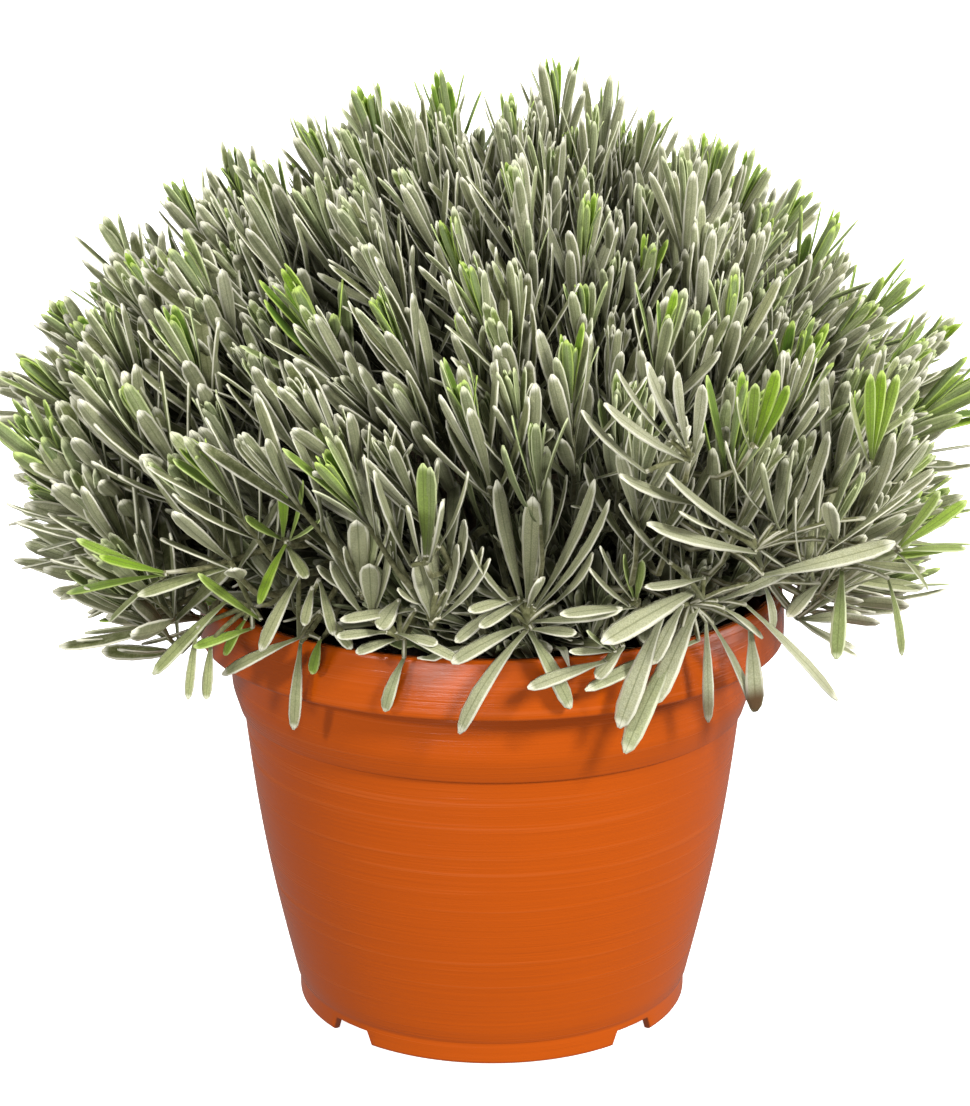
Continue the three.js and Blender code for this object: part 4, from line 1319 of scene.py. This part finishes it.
# The pale coat holds pale hairs and, on the right, painted light.
sage = foliage.mix(pale_with_painted_light, sage, srgb(192, 192, 162))
sage = foliage.mix(foliage.ramp(mottle, 0.4, 0.66, 0.0, 0.4), sage, srgb(174, 173, 132))
green = foliage.mix(tone, srgb(82, 122, 8), srgb(138, 172, 34))
colour = foliage.mix(young, sage, green)
edging = foliage.mix(young, srgb(240, 237, 216), srgb(192, 216, 108))
bark = foliage.mix(foliage.ramp(mottle, 0.35, 0.65), srgb(96, 88, 62), srgb(140, 134, 100))
COATS = [
    (foliage.times(downy, 0.5), srgb(166, 168, 140)),
    (foliage.ramp(felt, 0.4, 0.6, 0.3, 0.0), srgb(64, 70, 28)),
    (foliage.times(margin, 0.88), edging),
    # Painted shade in the groove along the middle.
    (foliage.times(groove, 0.5), srgb(82, 90, 40)),
    # Painted shade towards the leaf's base.
    (foliage.ramp(v, 0.05, 0.6, 0.5, 0.0), srgb(56, 62, 20)),
    (foliage.times(dry, foliage.ramp(v, 0.6, 0.85)), srgb(86, 60, 34)),
    (woody, bark),
    # Painted shade on what lies deep in the bush, on the boughs and on bare stems.
    (foliage.times(deep, 0.8), srgb(26, 28, 8)),
]
for share, coat in COATS:
    colour = foliage.mix(share, colour, coat)
foliage.finish({
    "Base Color": colour,
    "Roughness": foliage.ramp(felt, 0.3, 0.7, 0.62, 0.8),
    "Specular IOR Level": 0.3,
    "Sheen Weight": 0.25,
    "Sheen Roughness": 0.5,
    "Sheen Tint": (0.9, 0.92, 0.55, 1),
    "Normal": foliage.bump(foliage.math("ADD", foliage.times(felt, 0.3), mottle), 0.0005, 0.5),
})

# %% [markdown]
# Now each bough grows: its own stem, its sprigs and their leaves, then its shoots. A shoot that lost
# leaves at the rim gets painted shade on its stem, so that no bare bright stick is left there.

# %% Grow the boughs
BOUGH_RADII = [2.2, 2.0, 1.9, 1.8, 1.2]
STEM_SIDES = 5
SHORTEST_STALK = 0.1  # a leaf whose root is the sprig's own end needs no stalk


def add_sprig(heap, sprig, bough):
    """One sprig with its stalks. Gives back its leaves."""
    end, way, pale = SPRIGS[sprig]
    path = sprig_path(bough, end, way)
    heap.add(*tube(path, SPRIG_RADII, 6), woody=0.5)
    for root, *_ in SPRIG_LEAVES[sprig]:
        line = stalk(path, np.array(root))
        if np.linalg.norm(line[-1] - line[0]) > SHORTEST_STALK:
            heap.add(*tube(line, STALK_RADII, 5), woody=0.35)
    return [hand_leaf(pale, *row) for row in SPRIG_LEAVES[sprig]]


def add_shoot(heap, shoot, bough):
    """One shoot's stem. Gives back its leaves."""
    leaves = shoot_leaves(shoot)
    if leaves:
        path = stem_path(bough, shoot)
        radii = np.interp(np.linspace(0, 1, len(path)), [0, 0.6, 1], [1.5, 1.1, 0.6])
        points, faces, uv = tube(path, radii, STEM_SIDES)
        greener = np.repeat(np.linspace(1, 0.35, len(path)), STEM_SIDES)
        bare = 1 - len(leaves) / full_count(shoot)
        # Painted shade: the stem is darkened deep in the bush and where it lost leaves.
        heap.add(points, faces, uv, woody=greener, deep=np.maximum(depth_of(points), bare))
    return leaves


total = 0
for number, bough in enumerate(boughs, start=1):
    heap = Heap()
    start, fork, way = bough["start"], bough["fork"], bough["way"]
    stem = bezier(start, start + way * 3, fork - way * 3, fork, len(BOUGH_RADII))
    # The bough's own stem gets full painted shade.
    heap.add(*tube(stem, BOUGH_RADII, 8), woody=1.0, deep=1.0)
    leaves = []
    for sprig in (name for name in SPRIGS if owner[name] == number):
        leaves += add_sprig(heap, sprig, bough)
    for shoot in bough["shoots"]:
        leaves += add_shoot(heap, shoot, bough)
    if leaves:
        add_leaves(heap, leaves)
    name = f"bough_{number:02d}"
    piece = add_piece("leafy_" + name, heap, foliage.material, [name])
    total += triangles(piece)
print("the boughs have", total, "triangles")

# %% [markdown]
# ## Woody crown
#
# Under the leaves a lavender is a small gnarled shrub. Its bark is grey-brown and peels in strips along the
# limbs. The crown is one stump with a limb to each bough, thick at the knob and thinner at the end.

# %% Bark finish
crown_bark = Net("lavender bark")
strips = crown_bark.noise((260, 260, 60), 1.0, 5, 0.6)
speck = crown_bark.noise(EVEN, 900, 3)
crown_bark.finish({
    "Base Color": crown_bark.mix(crown_bark.ramp(strips, 0.35, 0.68), srgb(60, 48, 36), srgb(138, 122, 98)),
    "Roughness": crown_bark.ramp(speck, 0.3, 0.7, 0.75, 0.95),
    "Normal": crown_bark.bump(strips, 0.0015, 0.8),
})

# %% [markdown]
# The stump and the limbs are tubes. Moving each of their points a little by chance gives knots and ridges.

# %% Stump and limbs
STUMP_FOOT, STUMP_TOP = 92, 151
STUMP_SIDES = 28
LIMB_STATIONS = 10
crown_heap = Heap()
stump_rise = np.linspace(STUMP_FOOT, STUMP_TOP, 14)
stump_radii = np.interp(stump_rise, [STUMP_FOOT, 130, 139, 147, STUMP_TOP], [9, 9, 12.6, 9, 1.5])
stump_points, stump_faces, stump_uv = tube([(0, 0, z) for z in stump_rise], stump_radii, STUMP_SIDES)
knots = 1 + spread(np.arange(len(stump_points)), 41, 0.05)
stump_points[:, :2] *= knots[:, None]
crown_heap.add(stump_points, stump_faces, stump_uv)
for b, bough in enumerate(boughs):
    end, way = bough["start"], bough["way"]
    slope = unit(end - KNOB)
    begin = KNOB + slope * KNOB_RADIUS * 0.45
    far = np.linalg.norm(end - begin)
    limb = bezier(begin, begin + slope * far * 0.3, end - way * far * 0.3, end, LIMB_STATIONS)
    sway = np.array([spread(b, 42, 1), spread(b, 43, 1), 0.5])
    limb = limb + np.sin(np.linspace(0, np.pi, LIMB_STATIONS))[:, None] * sway
    limb_points, limb_faces, limb_uv = tube(limb, np.linspace(3.1, 2.1, LIMB_STATIONS), 9)
    limb_points += spread(np.arange(limb_points.size), 44 + b, 0.15).reshape(-1, 3)
    crown_heap.add(limb_points, limb_faces, limb_uv)
crown = add_piece("woody_crown_bark", crown_heap, crown_bark.material, ["woody_crown"])
print("the crown has", triangles(crown), "triangles")

# %% [markdown]
# ## Floor
#
# The plant stands on plain white that has no horizon. The floor is a wide sheet that rises far away into a
# round wall, turned from a profile as the pot is. It glows white by itself, so it needs no lamps, and it is
# hidden from reflections, shadows and bounced light, so that it doesn't colour the plant.

# %% Floor
white = Net("white floor")
white.finish({
    "Base Color": white.mix(white.noise(EVEN, 3, 2), srgb(250, 250, 250), srgb(253, 253, 253)),
    "Roughness": 0.9,
    "Emission Color": (1, 1, 1, 1),
    "Emission Strength": 1.0,
})
FLOOR_PROFILE = [(0.05, -0.5), (3000, -0.5), (4200, 120), (4800, 600), (5000, 1400), (5000, 5000)]
FLOOR_SIDES = 96
floor_points = turned(*np.split(np.array(FLOOR_PROFILE), 2, axis=1), FLOOR_SIDES) * MM
floor_faces = ring_faces(len(FLOOR_PROFILE), FLOOR_SIDES)[:, ::-1]
sheet = bpy.data.meshes.new("floor")
sheet.from_pydata(floor_points.tolist(), [], floor_faces.tolist())
sheet.shade_smooth()
sheet.materials.append(white.material)
floor = bpy.data.objects.new("floor", sheet)
bpy.context.scene.collection.objects.link(floor)
floor.visible_diffuse = False
floor.visible_glossy = False
floor.visible_shadow = False
print("the floor is", round(floor.dimensions.x, 1), "m wide")

# %% [markdown]
# ## Light
#
# The photograph's light is soft and comes from all round, a little stronger from the front right. A white
# world gives the soft part: it is brighter above than below, so that undersides stay darker.

# %% Surroundings
world = bpy.data.worlds.new("white surroundings")
world.use_nodes = True
sky = world.node_tree
up = sky.nodes.new("ShaderNodeSeparateXYZ")
sky.links.new(sky.nodes.new("ShaderNodeTexCoord").outputs["Generated"], up.inputs[0])
rise = sky.nodes.new("ShaderNodeMapRange")
for socket, value in {"From Min": -0.6, "From Max": 0.9, "To Min": 0.24, "To Max": 0.36}.items():
    rise.inputs[socket].default_value = value
sky.links.new(up.outputs["Z"], rise.inputs["Value"])
sky.nodes["Background"].inputs["Color"].default_value = (1, 1, 1, 1)
sky.links.new(rise.outputs[0], sky.nodes["Background"].inputs["Strength"])
bpy.context.scene.world = world
bpy.context.scene.view_settings.view_transform = "Standard"
print("the surroundings have", len(sky.nodes), "nodes")

# %% [markdown]
# Three suns add direction: a strong one from the right, a weaker one from the left, and one from behind that
# lights the tips. The wider a sun is, the softer are its shadows. Two glowing panels make the gloss on the
# rim and the bright edge on the right.


# %% Suns and panels
def add_lamp(name, kind, strength, turned_by):
    data = bpy.data.lights.new(name, kind)
    data.energy = strength
    lamp = bpy.data.objects.new(name, data)
    lamp.rotation_euler = turned_by
    bpy.context.scene.collection.objects.link(lamp)
    return lamp


def add_sun(name, from_above, turn, wide, strength):
    """A sun lamp, its angles in degrees: down from overhead, and round towards the right."""
    lamp = add_lamp(name, "SUN", strength, (math.radians(from_above), 0, math.radians(turn)))
    lamp.data.angle = math.radians(wide)


def add_panel(name, place, target, wide, tall, power):
    """A glowing rectangle that looks from its place at its target, in metres and watts."""
    away = np.array(place) - np.array(target)
    turned_by = (math.acos(away[2] / np.linalg.norm(away)), 0, math.atan2(away[0], -away[1]))
    lamp = add_lamp(name, "AREA", power, turned_by)
    lamp.location = place
    lamp.data.shape = "RECTANGLE"
    lamp.data.size, lamp.data.size_y = wide, tall


add_sun("right", 55, 38, 14, 3.0)
add_sun("left", 63, -42, 6, 1.2)
add_sun("behind", 72, 212, 20, 1.8)
add_panel("glint", (-0.3, -0.98, 0.14), (0, -0.1, 0.135), 0.36, 0.16, 3.6)
add_panel("edge", (1.5, 0.1, 0.4), (0, 0, 0.1), 0.8, 0.8, 14)

# %% [markdown]
# ## Camera
#
# The rim, the band and the foot of the pot are seen as ellipses, and how flat each of them looks gives the
# camera away: a 90 mm lens, a little under a metre off, looking down by nearly 16 degrees.

# %% Camera
LENS, SENSOR = 90, 36
CAMERA_PLACE = (-0.00231, -0.8647, 0.3939)
LOOKS_DOWN = 15.73
lens = bpy.data.cameras.new("view")
lens.sensor_fit = "VERTICAL"
lens.sensor_height = SENSOR
lens.lens = LENS
lens.clip_start = 0.05
camera = bpy.data.objects.new("view", lens)
camera.location = CAMERA_PLACE
camera.rotation_euler = (math.radians(90 - LOOKS_DOWN), 0, 0)
bpy.context.scene.collection.objects.link(camera)
bpy.context.scene.camera = camera
print("the camera is", round(camera.location.length, 3), "m from the pot's foot")
